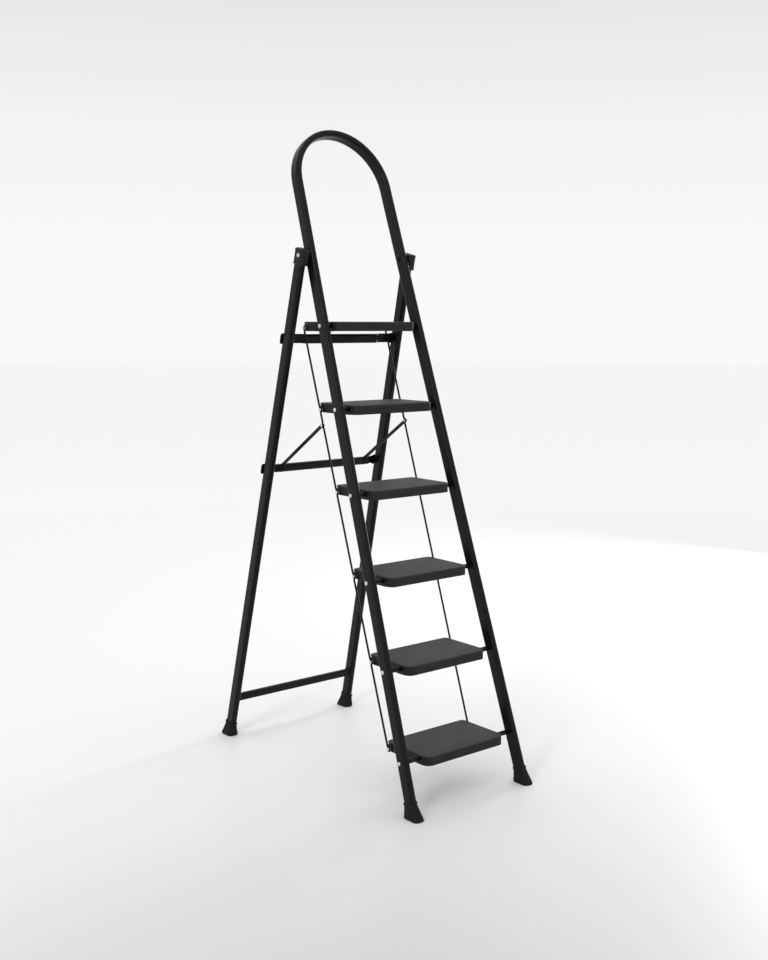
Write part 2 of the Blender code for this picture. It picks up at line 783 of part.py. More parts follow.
def build_link_pins(side_name, side, steel):
    """The upper pivot is two short rivets face to face; the lower one is a full pin."""
    upper = rod_point(LINK_TOP_S)
    inner = ROD_X - 2 * CLEARANCE
    profile = inward_head(inner, PIN_HEAD_HEIGHT, PIN_HEAD)
    profile += [(inner, PIN_RADIUS), (ROD_X + ROD_RADIUS, PIN_RADIUS)]
    pin_object(f"rod_stud_{side_name}", side, upper, profile, steel)
    outer = LINK_OUTER + CLEARANCE
    profile = [(LINK_INNER + CLEARANCE, PIN_RADIUS), (outer, PIN_RADIUS)]
    profile += head(outer, PIN_HEAD_HEIGHT, PIN_HEAD)
    pin_object(f"link_stud_{side_name}", side, upper, profile, steel)
    inner = LINK_INNER - CLEARANCE
    outer = LUG_OUTER + CLEARANCE
    profile = inward_head(inner, PIN_HEAD_HEIGHT, PIN_HEAD)
    profile += [(inner, PIN_RADIUS), (outer, PIN_RADIUS)]
    profile += head(outer, PIN_HEAD_HEIGHT, PIN_HEAD)
    pin_object(f"link_pin_{side_name}", side, link_bottom(), profile, steel)


# ---------------------------------------------------------------- ladder


def main():
    clear_scene()
    paint = make_material("frame_paint", (0.012, 0.012, 0.013), 0.34, 0.0)
    arm_paint = make_material("arm_paint", (0.016, 0.016, 0.017), 0.42, 0.0)
    tread_plastic = make_material("tread_plastic", (0.030, 0.029, 0.030), 0.62, 0.0)
    cap_plastic = make_material("cap_plastic", (0.014, 0.014, 0.014), 0.45, 0.0)
    rubber = make_material("foot_rubber", (0.010, 0.010, 0.010), 0.70, 0.0)
    steel = make_material("rivet_steel", (0.62, 0.62, 0.63), 0.30, 1.0)

    build_front_tube(paint)
    build_top_bar(paint)
    build_middle_bar(paint)
    build_bottom_bar(paint)
    for index in range(STEPS):
        build_tread(index, tread_plastic)
        build_axle(index, steel)
    for side_name, side in SIDES:
        build_foot(f"front_foot_{side_name}", FRONT, side, rubber)
        build_foot(f"rear_foot_{side_name}", REAR, side, rubber)
        build_rear_leg(f"rear_leg_{side_name}", side, paint)
        build_cap(f"hinge_cap_{side_name}", side, cap_plastic)
        build_hinge_rivet(f"hinge_rivet_{side_name}", side, steel)
        build_rod(f"step_rod_{side_name}", side, paint)
        build_link(f"link_{side_name}", side, paint)
        build_link_pins(side_name, side, steel)
        for index in range(STEPS):
            build_arm(f"arm_{side_name}_{index + 1}", index, side, arm_paint)
            build_rod_pin(f"rod_pin_{side_name}_{index + 1}", index, side, steel)


main()
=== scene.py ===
"""Looks of a folding library ladder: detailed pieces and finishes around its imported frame.

Metres, +Z up. The climbing side faces -Y and the floor is z = 0.
"""

import json
import logging
import math
from dataclasses import dataclass
from enum import Enum
from typing import Any, Iterable, Sequence

import bmesh
import bpy
from mathutils import Matrix, Vector

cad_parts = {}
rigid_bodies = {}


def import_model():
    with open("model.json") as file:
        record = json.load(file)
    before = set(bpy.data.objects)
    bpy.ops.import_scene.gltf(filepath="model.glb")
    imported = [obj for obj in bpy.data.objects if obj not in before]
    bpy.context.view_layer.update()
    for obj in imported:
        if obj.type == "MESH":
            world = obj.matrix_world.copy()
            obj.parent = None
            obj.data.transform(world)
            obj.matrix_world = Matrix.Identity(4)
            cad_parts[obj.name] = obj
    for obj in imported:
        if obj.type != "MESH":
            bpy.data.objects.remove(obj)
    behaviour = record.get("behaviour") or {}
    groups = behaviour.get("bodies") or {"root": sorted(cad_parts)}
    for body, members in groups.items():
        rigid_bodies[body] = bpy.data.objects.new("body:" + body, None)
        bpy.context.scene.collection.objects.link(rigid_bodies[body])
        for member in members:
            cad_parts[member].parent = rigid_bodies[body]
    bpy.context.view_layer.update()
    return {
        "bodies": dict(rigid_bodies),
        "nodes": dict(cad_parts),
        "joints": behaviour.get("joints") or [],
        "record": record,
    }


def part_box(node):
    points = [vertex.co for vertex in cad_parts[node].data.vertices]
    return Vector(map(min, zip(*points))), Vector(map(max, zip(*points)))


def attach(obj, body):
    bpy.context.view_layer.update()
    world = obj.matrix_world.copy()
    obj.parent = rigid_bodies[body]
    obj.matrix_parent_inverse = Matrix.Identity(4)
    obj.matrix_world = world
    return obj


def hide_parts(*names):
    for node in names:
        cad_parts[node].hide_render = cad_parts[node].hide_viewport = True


LOG = logging.getLogger("ladder")
CLEARANCE = 0.0003
STEPS = 6
SIDES = {"left": -1, "right": 1}
# Vertex layer of painted light on the treads: a painted highlight on the rim, a lighter top and a darker
# skirt in painted shade.
PAINTED_LIGHT = "wear"
SWAP_XZ = Matrix(((0, 0, 1, 0), (0, 1, 0, 0), (1, 0, 0, 0), (0, 0, 0, 1)))

Point = tuple[float, float]
Span = tuple[float, float]


class Slot(Enum):
    """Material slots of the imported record."""

    FRAME_PAINT = "frame_paint"
    ARM_PAINT = "arm_paint"
    TREAD_PLASTIC = "tread_plastic"
    CAP_PLASTIC = "cap_plastic"
    FOOT_RUBBER = "foot_rubber"
    RIVET_STEEL = "rivet_steel"


class HeadStyle(Enum):
    """The two ends a rivet can have."""

    DOMED = "domed"
    CLENCHED = "clenched"


# ---------------------------------------------------------------- shader graphs


class Signal:
    """A shader socket that can be used in Python expressions."""

    def __init__(self, graph: "Graph", socket: bpy.types.NodeSocket) -> None:
        """Wraps one output socket of a graph."""
        self.graph = graph
        self.socket = socket

    def _math(self, operation: str, first: Any, second: Any) -> "Signal":
        """Adds one Math node."""
        return self.graph.make("ShaderNodeMath", {"operation": operation}, {0: first, 1: second})

    def __add__(self, other: Any) -> "Signal":
        """Sum of the socket and another value."""
        return self._math("ADD", self, other)

    def __sub__(self, other: Any) -> "Signal":
        """The socket less another value."""
        return self._math("SUBTRACT", self, other)

    def __mul__(self, other: Any) -> "Signal":
        """Product of the socket and another value."""
        return self._math("MULTIPLY", self, other)

    def __truediv__(self, other: Any) -> "Signal":
        """The socket over another value."""
        return self._math("DIVIDE", self, other)

    def __rsub__(self, other: Any) -> "Signal":
        """Another value less the socket."""
        return self._math("SUBTRACT", other, self)

    __radd__ = __add__
    __rmul__ = __mul__

    def clamped(self) -> "Signal":
        """The socket held between 0 and 1."""
        return self.graph.make("ShaderNodeClamp", {}, {"Value": self})


class Graph:
    """The node tree of a material, or of the sky, around its shader."""

    def __init__(
        self, owner: bpy.types.Material | bpy.types.World, shader: str = "Principled BSDF",
        place: str = "Object",
    ) -> None:
        """Opens the node tree.

        Args:
            owner: The new material or sky.
            shader: Name of its shader node.
            place: Which coordinates its patterns lie on.
        """
        owner.use_nodes = True
        self.owner = owner
        self.tree = owner.node_tree
        self.shader = self.tree.nodes[shader]
        self.place = self.make("ShaderNodeTexCoord", {}, {}, place)

    def make(
        self, kind: str, settings: dict[str, Any], inputs: dict[Any, Any], output: Any = 0
    ) -> Signal:
        """Adds one node.

        Args:
            kind: Type of the node.
            settings: Properties of the node; "stops" are the stops of a colour ramp.
            inputs: Values or signals, by the name or number of the input socket.
            output: Name or number of the output socket to hand back.

        Returns:
            The chosen output.
        """
        node = self.tree.nodes.new(kind)
        for key, value in settings.items():
            if key == "stops":
                self.set_stops(node.color_ramp, value)
            else:
                setattr(node, key, value)
        for key, value in inputs.items():
            if isinstance(value, Signal):
                self.tree.links.new(value.socket, node.inputs[key])
            else:
                node.inputs[key].default_value = value
        return Signal(self, node.outputs[output])

    @staticmethod
    def set_stops(ramp: bpy.types.ColorRamp, stops: Sequence[Point]) -> None:
        """Gives a colour ramp grey stops.

        Args:
            ramp: The ramp to fill.
            stops: Pairs of position and grey level.
        """
        while len(ramp.elements) < len(stops):
            ramp.elements.new(1.0)
        for element, (position, level) in zip(ramp.elements, stops):
            element.position = position
            element.color = (level, level, level, 1.0)

    def stretched(self, scale: Sequence[float]) -> Signal:
        """Object coordinates scaled on each axis."""
        return self.make(
            "ShaderNodeVectorMath", {"operation": "MULTIPLY"}, {0: self.place, 1: tuple(scale)}
        )

    def noise(self, scale: float, detail: float = 3.0, place: Signal | None = None) -> Signal:
        """Fractal noise in the range 0 to 1.

        Args:
            scale: Cells per metre.
            detail: Octaves.
            place: Coordinates, or None for plain object coordinates.

        Returns:
            The noise value.
        """
        inputs = {"Vector": place or self.place, "Scale": scale, "Detail": detail}
        return self.make("ShaderNodeTexNoise", {}, inputs, 0)

    def ramp(self, value: Signal, stops: Sequence[Point]) -> Signal:
        """Remaps a value through grey stops."""
        return self.make("ShaderNodeValToRGB", {"stops": stops}, {"Fac": value}, "Color")

    def tint(self, factor: Signal, low: Sequence[float], high: Sequence[float]) -> Signal:
        """Colour between two others.

        Args:
            factor: Share of the second colour.
            low: First colour.
            high: Second colour.

        Returns:
            The mixed colour.
        """
        inputs = {"Factor": factor, 6: (*low, 1.0), 7: (*high, 1.0)}
        return self.make("ShaderNodeMix", {"data_type": "RGBA"}, inputs, 2)

    def bump(self, height: Signal, depth: float, strength: float, under: Signal | None = None) -> Signal:
        """Surface relief.

        Args:
            height: Relief from 0 to 1.
            depth: Height of a full step, in metres.
            strength: Weight of the relief.
            under: A coarser relief that this one lies on.

        Returns:
            The normal to plug into the shader.
        """
        inputs = {"Height": height, "Distance": depth, "Strength": strength}
        if under:
            inputs["Normal"] = under
        return self.make("ShaderNodeBump", {}, inputs, 0)

    def feed(self, sockets: dict[str, Any]) -> None:
        """Links signals to, or sets values on, the shader.

        Args:
            sockets: Values or signals by the name of the shader's input.
        """
        for key, value in sockets.items():
            if isinstance(value, Signal):
                self.tree.links.new(value.socket, self.shader.inputs[key])
            else:
                self.shader.inputs[key].default_value = value


# ---------------------------------------------------------------- finishes


@dataclass(frozen=True)
class PowderCoat:
    """Baked black paint with a fine orange-peel skin."""

    name: str
    dark: tuple[float, float, float] = (0.0036, 0.0036, 0.0038)
    light: tuple[float, float, float] = (0.0064, 0.0064, 0.0067)
    roughness: float = 0.27
    roughness_spread: float = 0.12
    specular: float = 0.14
    peel_cells: float = 620.0
    peel_depth: float = 0.00005

    def material(self) -> bpy.types.Material:
        """Builds the paint.

        Returns:
            The new material.
        """
        graph = Graph(bpy.data.materials.new(self.name))
        broad = graph.noise(9.0, 4.0)
        peel = graph.noise(self.peel_cells, 2.0)
        speck = graph.ramp(graph.noise(1900.0, 1.0), [(0.62, 0.0), (0.74, 1.0)])
        rubbed = graph.ramp(graph.noise(38.0, 6.0), [(0.58, 0.0), (0.80, 1.0)])
        mottle = (broad * 0.7 + speck * 0.3).clamped()
        relief = graph.bump(graph.noise(150.0, 2.0), 2 * self.peel_depth, 0.25)
        graph.feed(
            {
                "Base Color": graph.tint(mottle, self.dark, self.light),
                "Roughness": self.roughness + (broad - 0.5) * self.roughness_spread + rubbed * 0.06,
                "Normal": graph.bump(peel, self.peel_depth, 0.55, relief),
                "Specular IOR Level": self.specular,
            }
        )
        return graph.owner


@dataclass(frozen=True)
class GrainedPlastic:
    """Charcoal moulded plastic with a fine grain that runs along the tread, its tone scaled by painted light
    and shade from a vertex layer.
    """

    name: str
    dark: tuple[float, float, float] = (0.0060, 0.0060, 0.0063)
    light: tuple[float, float, float] = (0.0420, 0.0416, 0.0420)
    roughness: float = 0.56
    specular: float = 0.20
    grain_cells: tuple[float, float, float] = (14.0, 330.0, 120.0)

    def material(self) -> bpy.types.Material:
        """Builds the plastic.

        Returns:
            The new material.
        """
        graph = Graph(bpy.data.materials.new(self.name))
        along = graph.stretched(self.grain_cells)
        wave = graph.noise(6.0, 3.0)
        grain = graph.noise(1.0, 5.0, along)
        pores = graph.ramp(graph.noise(2.3, 3.0, along), [(0.55, 0.0), (0.72, 1.0)])
        leather = graph.noise(1500.0, 2.0)
        # Painted light from the tread's vertex layer scales the real grain tone: darkest on the skirt as
        # painted shade, lightest on the rim as a painted highlight.
        painted_light_mask = graph.make("ShaderNodeAttribute", {"attribute_name": PAINTED_LIGHT}, {}, "Fac")
        shade = ((grain * 1.45 + wave * 0.25 - pores * 0.55) * (0.22 + 1.10 * painted_light_mask)).clamped()
        coarse = graph.bump(grain - pores * 0.5, 0.00022, 0.55)
        graph.feed(
            {
                "Base Color": graph.tint(shade, self.dark, self.light),
                "Roughness": self.roughness + (wave - 0.5) * 0.16 + pores * 0.08,
                "Normal": graph.bump(leather, 0.00006, 0.45, coarse),
                "Specular IOR Level": self.specular,
            }
        )
        return graph.owner


@dataclass(frozen=True)
class SparkedPlastic:
    """Black moulded plastic with the fine pitting of a sparked tool."""

    name: str
    dark: tuple[float, float, float] = (0.0050, 0.0050, 0.0053)
    light: tuple[float, float, float] = (0.0095, 0.0095, 0.0100)
    roughness: float = 0.46
    specular: float = 0.18

    def material(self) -> bpy.types.Material:
        """Builds the plastic.

        Returns:
            The new material.
        """
        graph = Graph(bpy.data.materials.new(self.name))
        pits = graph.make("ShaderNodeTexVoronoi", {}, {"Vector": graph.place, "Scale": 1300.0}, 0)
        cloud = graph.noise(22.0, 4.0)
        graph.feed(
            {
                "Base Color": graph.tint(cloud, self.dark, self.light),
                "Roughness": self.roughness + (cloud - 0.5) * 0.14,
                "Normal": graph.bump(pits, 0.00005, 0.5),
                "Specular IOR Level": self.specular,
            }
        )
        return graph.owner


@dataclass(frozen=True)
class DustyRubber:
    """Black rubber that has picked up a little floor dust near its sole."""

    name: str
    dark: tuple[float, float, float] = (0.0045, 0.0045, 0.0045)
    light: tuple[float, float, float] = (0.0090, 0.0088, 0.0086)
    dust: tuple[float, float, float] = (0.0240, 0.0232, 0.0225)
    dust_height: float = 0.009
    roughness: float = 0.62

    def material(self) -> bpy.types.Material:
        """Builds the rubber.

        Returns:
            The new material.
        """
        graph = Graph(bpy.data.materials.new(self.name))
        height = graph.make("ShaderNodeSeparateXYZ", {}, {"Vector": graph.place}, "Z")
        cloud = graph.noise(60.0, 5.0)
        low = (1.0 - height / self.dust_height).clamped()
        dusted = (low * graph.ramp(cloud, [(0.45, 0.0), (0.75, 0.8)])).clamped()
        clean = graph.tint(graph.noise(35.0, 3.0), self.dark, self.light)
        inputs = {"Factor": dusted, 6: clean, 7: (*self.dust, 1.0)}
        colour = graph.make("ShaderNodeMix", {"data_type": "RGBA"}, inputs, 2)
        graph.feed(
            {
                "Base Color": colour,
                "Roughness": self.roughness + cloud * 0.10 + dusted * 0.15,
                "Normal": graph.bump(graph.noise(900.0, 2.0), 0.00006, 0.5),
                "Specular IOR Level": 0.15,
            }
        )
        return graph.owner


@dataclass(frozen=True)
class ZincSteel:
    """Bright zinc plating with fine turning marks."""

    name: str
    dull: tuple[float, float, float] = (0.46, 0.46, 0.47)
    bright: tuple[float, float, float] = (0.74, 0.74, 0.75)
    roughness: float = 0.24

    def material(self) -> bpy.types.Material:
        """Builds the plating.

        Returns:
            The new material.
        """
        graph = Graph(bpy.data.materials.new(self.name))
        cloud = graph.noise(240.0, 4.0)
        marks = graph.noise(2600.0, 2.0)
        graph.feed(
            {
                "Base Color": graph.tint(cloud, self.dull, self.bright),
                "Roughness": self.roughness + cloud * 0.16,
                "Normal": graph.bump(marks, 0.00002, 0.5),
                "Metallic": 1.0,
            }
        )
        return graph.owner


# ---------------------------------------------------------------- mesh work


class Blank:
    """A mesh in the making, with the operations that the parts share."""

    def __init__(self) -> None:
        """Starts with nothing on the bench."""
        self.bm = bmesh.new()

    def rounded_face(
        self, span_x: Span, span_y: Span, corners: tuple[float, float], segments: int
    ) -> bmesh.types.BMFace:
        """A rounded rectangle in the XY plane.

        Args:
            span_x: Lowest and highest x.
            span_y: Lowest and highest y.
            corners: Corner radius at the low-y side and at the high-y side.
            segments: Facets of each corner.

        Returns:
            The new face.
        """
        made = bmesh.ops.create_grid(self.bm, x_segments=1, y_segments=1, size=1.0)
        verts = made["verts"]
        half = ((span_x[1] - span_x[0]) / 2, (span_y[1] - span_y[0]) / 2, 1.0)
        middle = ((span_x[1] + span_x[0]) / 2, (span_y[1] + span_y[0]) / 2, 0.0)
        bmesh.ops.scale(self.bm, vec=half, verts=verts)
        bmesh.ops.translate(self.bm, vec=middle, verts=verts)
        low = [vert for vert in verts if vert.co.y < middle[1]]
        high = [vert for vert in verts if vert.co.y > middle[1]]
        face = verts[0].link_faces[0]
        for group, radius in ((low, corners[0]), (high, corners[1])):
            bmesh.ops.bevel(
                self.bm, geom=group, offset=radius, offset_type="OFFSET", affect="VERTICES",
                segments=segments, profile=0.5, material=-1,
            )
        self.bm.faces.ensure_lookup_table()
        return face if face.is_valid else self.bm.faces[-1]

    def ring(self, half_x: float, half_y: float, radius: float, segments: int) -> list[bmesh.types.BMEdge]:
        """A rounded rectangle of edges about the origin.

        Args:
            half_x: Half the width.
            half_y: Half the depth.
            radius: Corner radius.
            segments: Facets of each corner.

        Returns:
            The edges of the ring.
        """
        face = self.rounded_face((-half_x, half_x), (-half_y, half_y), (radius, radius), segments)
        edges = list(face.edges)
        bmesh.ops.delete(self.bm, geom=[face], context="FACES_ONLY")
        return edges

    def circle(self, radius: float, segments: int) -> list[bmesh.types.BMEdge]:
        """A round ring of edges in the XY plane."""
        made = bmesh.ops.create_circle(self.bm, segments=segments, radius=radius, cap_ends=False)
        return list({edge for vert in made["verts"] for edge in vert.link_edges})

    def move(self, edges: Iterable[bmesh.types.BMEdge], matrix: Matrix) -> None:
        """Transforms the corners of some edges."""
        verts = list({vert for edge in edges for vert in edge.verts})
        bmesh.ops.transform(self.bm, matrix=matrix, verts=verts)

    def draw(self, edges: list[bmesh.types.BMEdge], stations: Sequence[Matrix]) -> list[bmesh.types.BMEdge]:
        """Draws a ring from the first of some stations, where it is, through the others.

        Args:
            edges: The ring.
            stations: One matrix for each place.

        Returns:
            The ring at the last station.
        """
        for before, after in zip(stations, stations[1:]):
            made = bmesh.ops.extrude_edge_only(self.bm, edges=edges)
            edges = [part for part in made["geom"] if isinstance(part, bmesh.types.BMEdge)]
            edges = [edge for edge in edges if len(edge.link_faces) == 1]
            self.move(edges, after @ before.inverted())
        return edges

    def sweep(self, edges: list[bmesh.types.BMEdge], stations: Sequence[Matrix]) -> None:
        """Draws a ring through a row of stations and closes both ends.

        Args:
            edges: The ring, in its own XY plane.
            stations: Where the ring stands and how it is scaled, one matrix for each place.
        """
        self.move(edges, stations[0])
        bmesh.ops.edgeloop_fill(self.bm, edges=edges)
        bmesh.ops.edgeloop_fill(self.bm, edges=self.draw(edges, stations))

    def turn(self, profile: Sequence[Point], steps: int) -> None:
        """Turns a profile about the X axis into a closed solid.

        Args:
            profile: Pairs of place along the axis and radius, from one pole to the other.
            steps: Facets round the axis.
        """
        verts = [self.bm.verts.new((along, radius, 0.0)) for along, radius in profile]
        edges = [self.bm.edges.new(pair) for pair in zip(verts, verts[1:])]
        bmesh.ops.spin(
            self.bm, geom=verts + edges, cent=(0, 0, 0), axis=(1, 0, 0), dvec=(0, 0, 0),
            angle=math.tau, steps=steps, use_merge=True, use_duplicate=False,
        )
        bmesh.ops.remove_doubles(self.bm, verts=self.bm.verts, dist=1e-6)

    def block(self, low: Sequence[float], high: Sequence[float], edge: float) -> None:
        """A box with broken edges.

        Args:
            low: Lowest corner.
            high: Highest corner.
            edge: Size of the broken edges.
        """
        size = [b - a for a, b in zip(low, high)]
        middle = [(a + b) / 2 for a, b in zip(low, high)]
        matrix = Matrix.Translation(middle) @ Matrix.Diagonal((*size, 1.0))
        made = bmesh.ops.create_cube(self.bm, size=1.0, matrix=matrix)
        self.soften({line for vert in made["verts"] for line in vert.link_edges}, edge, 1)

    def soften(self, edges: Iterable[bmesh.types.BMEdge], radius: float, segments: int = 2) -> None:
        """Rounds some edges."""
        bmesh.ops.bevel(
            self.bm, geom=list(edges), offset=radius, offset_type="OFFSET", affect="EDGES",
            segments=segments, profile=0.5, material=-1, clamp_overlap=True,
        )

    def chamfer(self, face: bmesh.types.BMFace, size: float) -> None:
        """Raises a face and draws it in by the same amount."""
        face.normal_update()
        bmesh.ops.inset_region(
            self.bm, faces=[face], thickness=size, depth=size, use_even_offset=True
        )

    def cut(self, faces: list[bmesh.types.BMFace], point: Vector, normal: Vector) -> list[bmesh.types.BMFace]:
        """Divides some faces by a plane.

        Args:
            faces: Faces to divide.
            point: A point of the plane.
            normal: Normal of the plane.

        Returns:
            The faces after the cut.
        """
        geom = set(faces)
        for face in faces:
            geom.update(face.edges)
            geom.update(face.verts)
        made = bmesh.ops.bisect_plane(
            self.bm, geom=list(geom), plane_co=point, plane_no=normal, dist=1e-7
        )
        return [part for part in made["geom"] if isinstance(part, bmesh.types.BMFace)]

    def cut_all(
        self, faces: list[bmesh.types.BMFace], planes: Iterable[tuple[int, float]]
    ) -> list[bmesh.types.BMFace]:
        """Divides some faces by a row of planes that are square to the axes.

        Args:
            faces: Faces to divide.
            planes: Pairs of axis number and place along it.

        Returns:
            The faces after the last cut.
        """
        for axis, place in planes:
            normal = Vector([float(axis == other) for other in range(3)])
            faces = self.cut(faces, place * normal, normal)
        return faces

    def push(self, faces: list[bmesh.types.BMFace], offset: Sequence[float]) -> list[bmesh.types.BMFace]:
        """Extrudes a region of faces.

        Args:
            faces: The region.
            offset: How far its copy moves.

        Returns:
            The moved faces.
        """
        made = bmesh.ops.extrude_face_region(self.bm, geom=faces)
        verts = [part for part in made["geom"] if isinstance(part, bmesh.types.BMVert)]
        bmesh.ops.translate(self.bm, vec=offset, verts=verts)
        left = [face for face in faces if face.is_valid]
        bmesh.ops.delete(self.bm, geom=left, context="FACES")
        return [part for part in made["geom"] if isinstance(part, bmesh.types.BMFace)]

    def join(self, other: "Blank") -> None:
        """Adds a second closed shell.

        Args:
            other: The blank that holds it, which is used up.
        """
        mesh = bpy.data.meshes.new("shell")
        other.bm.to_mesh(mesh)
        other.bm.free()
        self.bm.from_mesh(mesh)
        bpy.data.meshes.remove(mesh)

    def object(self, name: str, matrix: Matrix) -> bpy.types.Object:
        """Puts the mesh in its place and makes it an object.

        Args:
            name: Name of the piece.
            matrix: Where the mesh goes in the ladder's frame.

        Returns:
            The new object, which itself stays at the origin.
        """
        bmesh.ops.transform(self.bm, matrix=matrix, verts=self.bm.verts)
        bmesh.ops.recalc_face_normals(self.bm, faces=self.bm.faces)
        mesh = bpy.data.meshes.new(name)
        self.bm.to_mesh(mesh)
        self.bm.free()
        mesh.shade_smooth()
        mesh.set_sharp_from_angle(angle=math.radians(40))
        made = bpy.data.objects.new(name, mesh)
        bpy.context.scene.collection.objects.link(made)
        weighted = made.modifiers.new("even_normals", "WEIGHTED_NORMAL")
        weighted.keep_sharp = True
        return made


def section_matrix(x: float, y: float, z: float, scale_x: float = 1.0, scale_y: float = 1.0) -> Matrix:
    """A ring that lies level at a point, scaled in its own plane."""
    return Matrix.Translation((x, y, z)) @ Matrix.Diagonal((scale_x, scale_y, 1.0, 1.0))


def ease(share: float) -> float:
    """A smooth rise from 0 to 1."""
    return share * share * (3.0 - 2.0 * share)


def quarter(steps: int) -> list[Point]:
    """Sine and cosine of each stop of a quarter turn, both ends included."""
    turns = [math.pi / 2 * step / steps for step in range(steps + 1)]
    return [(math.sin(turn), math.cos(turn)) for turn in turns]


def blend(first: float, last: float, share: float) -> float:
    """The value a share of the way between two others."""
    return first + (last - first) * share


# ---------------------------------------------------------------- layout


@dataclass(frozen=True)
class Plane:
    """A leaning frame plane: in its own frame, Z runs up the slope and Y out of its rear side."""

    foot_y: float
    slope: float
    half_width: float
    taper: float

    @property
    def angle(self) -> float:
        """Lean from upright, in radians."""
        return math.atan(self.slope)

    @property
    def matrix(self) -> Matrix:
        """From the plane's own frame to the ladder's."""
        return Matrix.Translation((0, self.foot_y, 0)) @ Matrix.Rotation(-self.angle, 4, "X")

    def leg_x(self, s: float) -> float:
        """Distance of a leg's centre line from the middle, at a place up the slope."""
        return self.half_width - self.taper * math.cos(self.angle) * s

    def local(self, point: Vector) -> Vector:
        """A point of the ladder in the plane's own frame."""
        return self.matrix.inverted() @ point


@dataclass(frozen=True)
class Tube:
    """The flat-oval tube that both frames are made of."""

    half_width: float = 0.010
    half_depth: float = 0.019
    corner: float = 0.008
    start: float = 0.016
    segments: int = 7

    def ring(self, blank: Blank) -> list[bmesh.types.BMEdge]:
        """The tube's section."""
        return blank.ring(self.half_width, self.half_depth, self.corner, self.segments)


@dataclass(frozen=True)
class Wire:
    """The round wire of the lift rods, and how far from the middle it runs."""

    x: float = 0.1545
    radius: float = 0.003


@dataclass
class Layout:
    """Where the pivots are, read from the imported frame."""

    hinge: Vector
    steps: list[Vector]
    rod_pins: list[Vector]
    link_top: Vector
    link_bottom: Vector
    front: Plane
    rear: Plane

    @classmethod
    def read(cls, frame: dict[str, Any]) -> "Layout":
        """Reads the pivots.


        Returns:
            The layout.
        """
        places = {joint["name"]: Vector(joint["pos_m"]) for joint in frame["joints"]}
        steps = [places[f"step_{index + 1}_fold"] for index in range(STEPS)]
        reach = places["rod_left_swing"] - steps[2]
        reach.x = 0.0
        return cls(
            hinge=places["frame_fold"],
            steps=steps,
            rod_pins=[step + reach for step in steps],
            link_top=box_centre("rod_stud_left", "rod_stud_right"),
            link_bottom=box_centre("link_pin_left", "link_pin_right"),
            front=Plane(foot_y=-0.444, slope=0.3371, half_width=0.2091, taper=0.0259),
            rear=Plane(foot_y=0.444, slope=-0.2439, half_width=0.2353, taper=0.0238),
        )

    def stile_x(self, point: Vector) -> float:
        """Distance of the front stile's centre line from the middle, beside a pivot."""
        return self.front.leg_x(self.front.local(point).z)


def box_centre(*nodes: str) -> Vector:
    """The middle of the boxes of some frame nodes.

    Args:
        nodes: Names of the nodes.

    Returns:
        The middle of the box round all of them.
    """
    corners = [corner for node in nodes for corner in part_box(node)]
    low = Vector([min(corner[i] for corner in corners) for i in range(3)])
    high = Vector([max(corner[i] for corner in corners) for i in range(3)])
    return (low + high) / 2


class Bench:
    """Hands finished pieces to the frame, with the material of their slot and their body."""

    def __init__(self) -> None:
        """Mixes the finishes."""
        self.materials = {
            Slot.FRAME_PAINT: PowderCoat("frame_paint_satin").material(),
            Slot.ARM_PAINT: PowderCoat("arm_paint_satin", roughness=0.38, specular=0.20).material(),
            Slot.TREAD_PLASTIC: GrainedPlastic("tread_plastic_grained").material(),
            Slot.CAP_PLASTIC: SparkedPlastic("cap_plastic_sparked").material(),
            Slot.FOOT_RUBBER: DustyRubber("foot_rubber_dusty").material(),
            Slot.RIVET_STEEL: ZincSteel("rivet_zinc").material(),
        }

    def deliver(
        self, blank: Blank, name: str, slot: Slot, body: str, stands_for: Sequence[str], matrix: Matrix
    ) -> None:
        """Finishes one piece.

        Args:
            blank: The shaped mesh.
            name: Name of the piece.
            slot: The record's slot for its material.
            body: The body it moves with.
            stands_for: Frame nodes that it takes the place of.
            matrix: Where the mesh goes.
        """
        piece = blank.object(name, matrix)
        piece.data.materials.append(self.materials[slot])
        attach(piece, body)
        if stands_for:
            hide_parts(*stands_for)
        LOG.info("%s: %d faces on %s", name, len(piece.data.polygons), body)

    def turned(
        self, profile: Sequence[Point], side: int, facets: int, name: str, slot: Slot, body: str,
        stands_for: Sequence[str], matrix: Matrix,
    ) -> None:
        """Turns and finishes one round piece.

        Args:
            profile: Pairs of place out from the middle and radius.
            side: -1 on the left, 1 on the right.
            facets: Facets round the axis.
            name: Name of the piece.
            slot: The record's slot for its material.
            body: The body it moves with.
            stands_for: Frame nodes that it takes the place of.
            matrix: Where the mesh goes.
        """
        blank = Blank()
        blank.turn([(side * along, radius) for along, radius in profile], facets)
        self.deliver(blank, name, slot, body, stands_for, matrix)


# ---------------------------------------------------------------- shared fittings


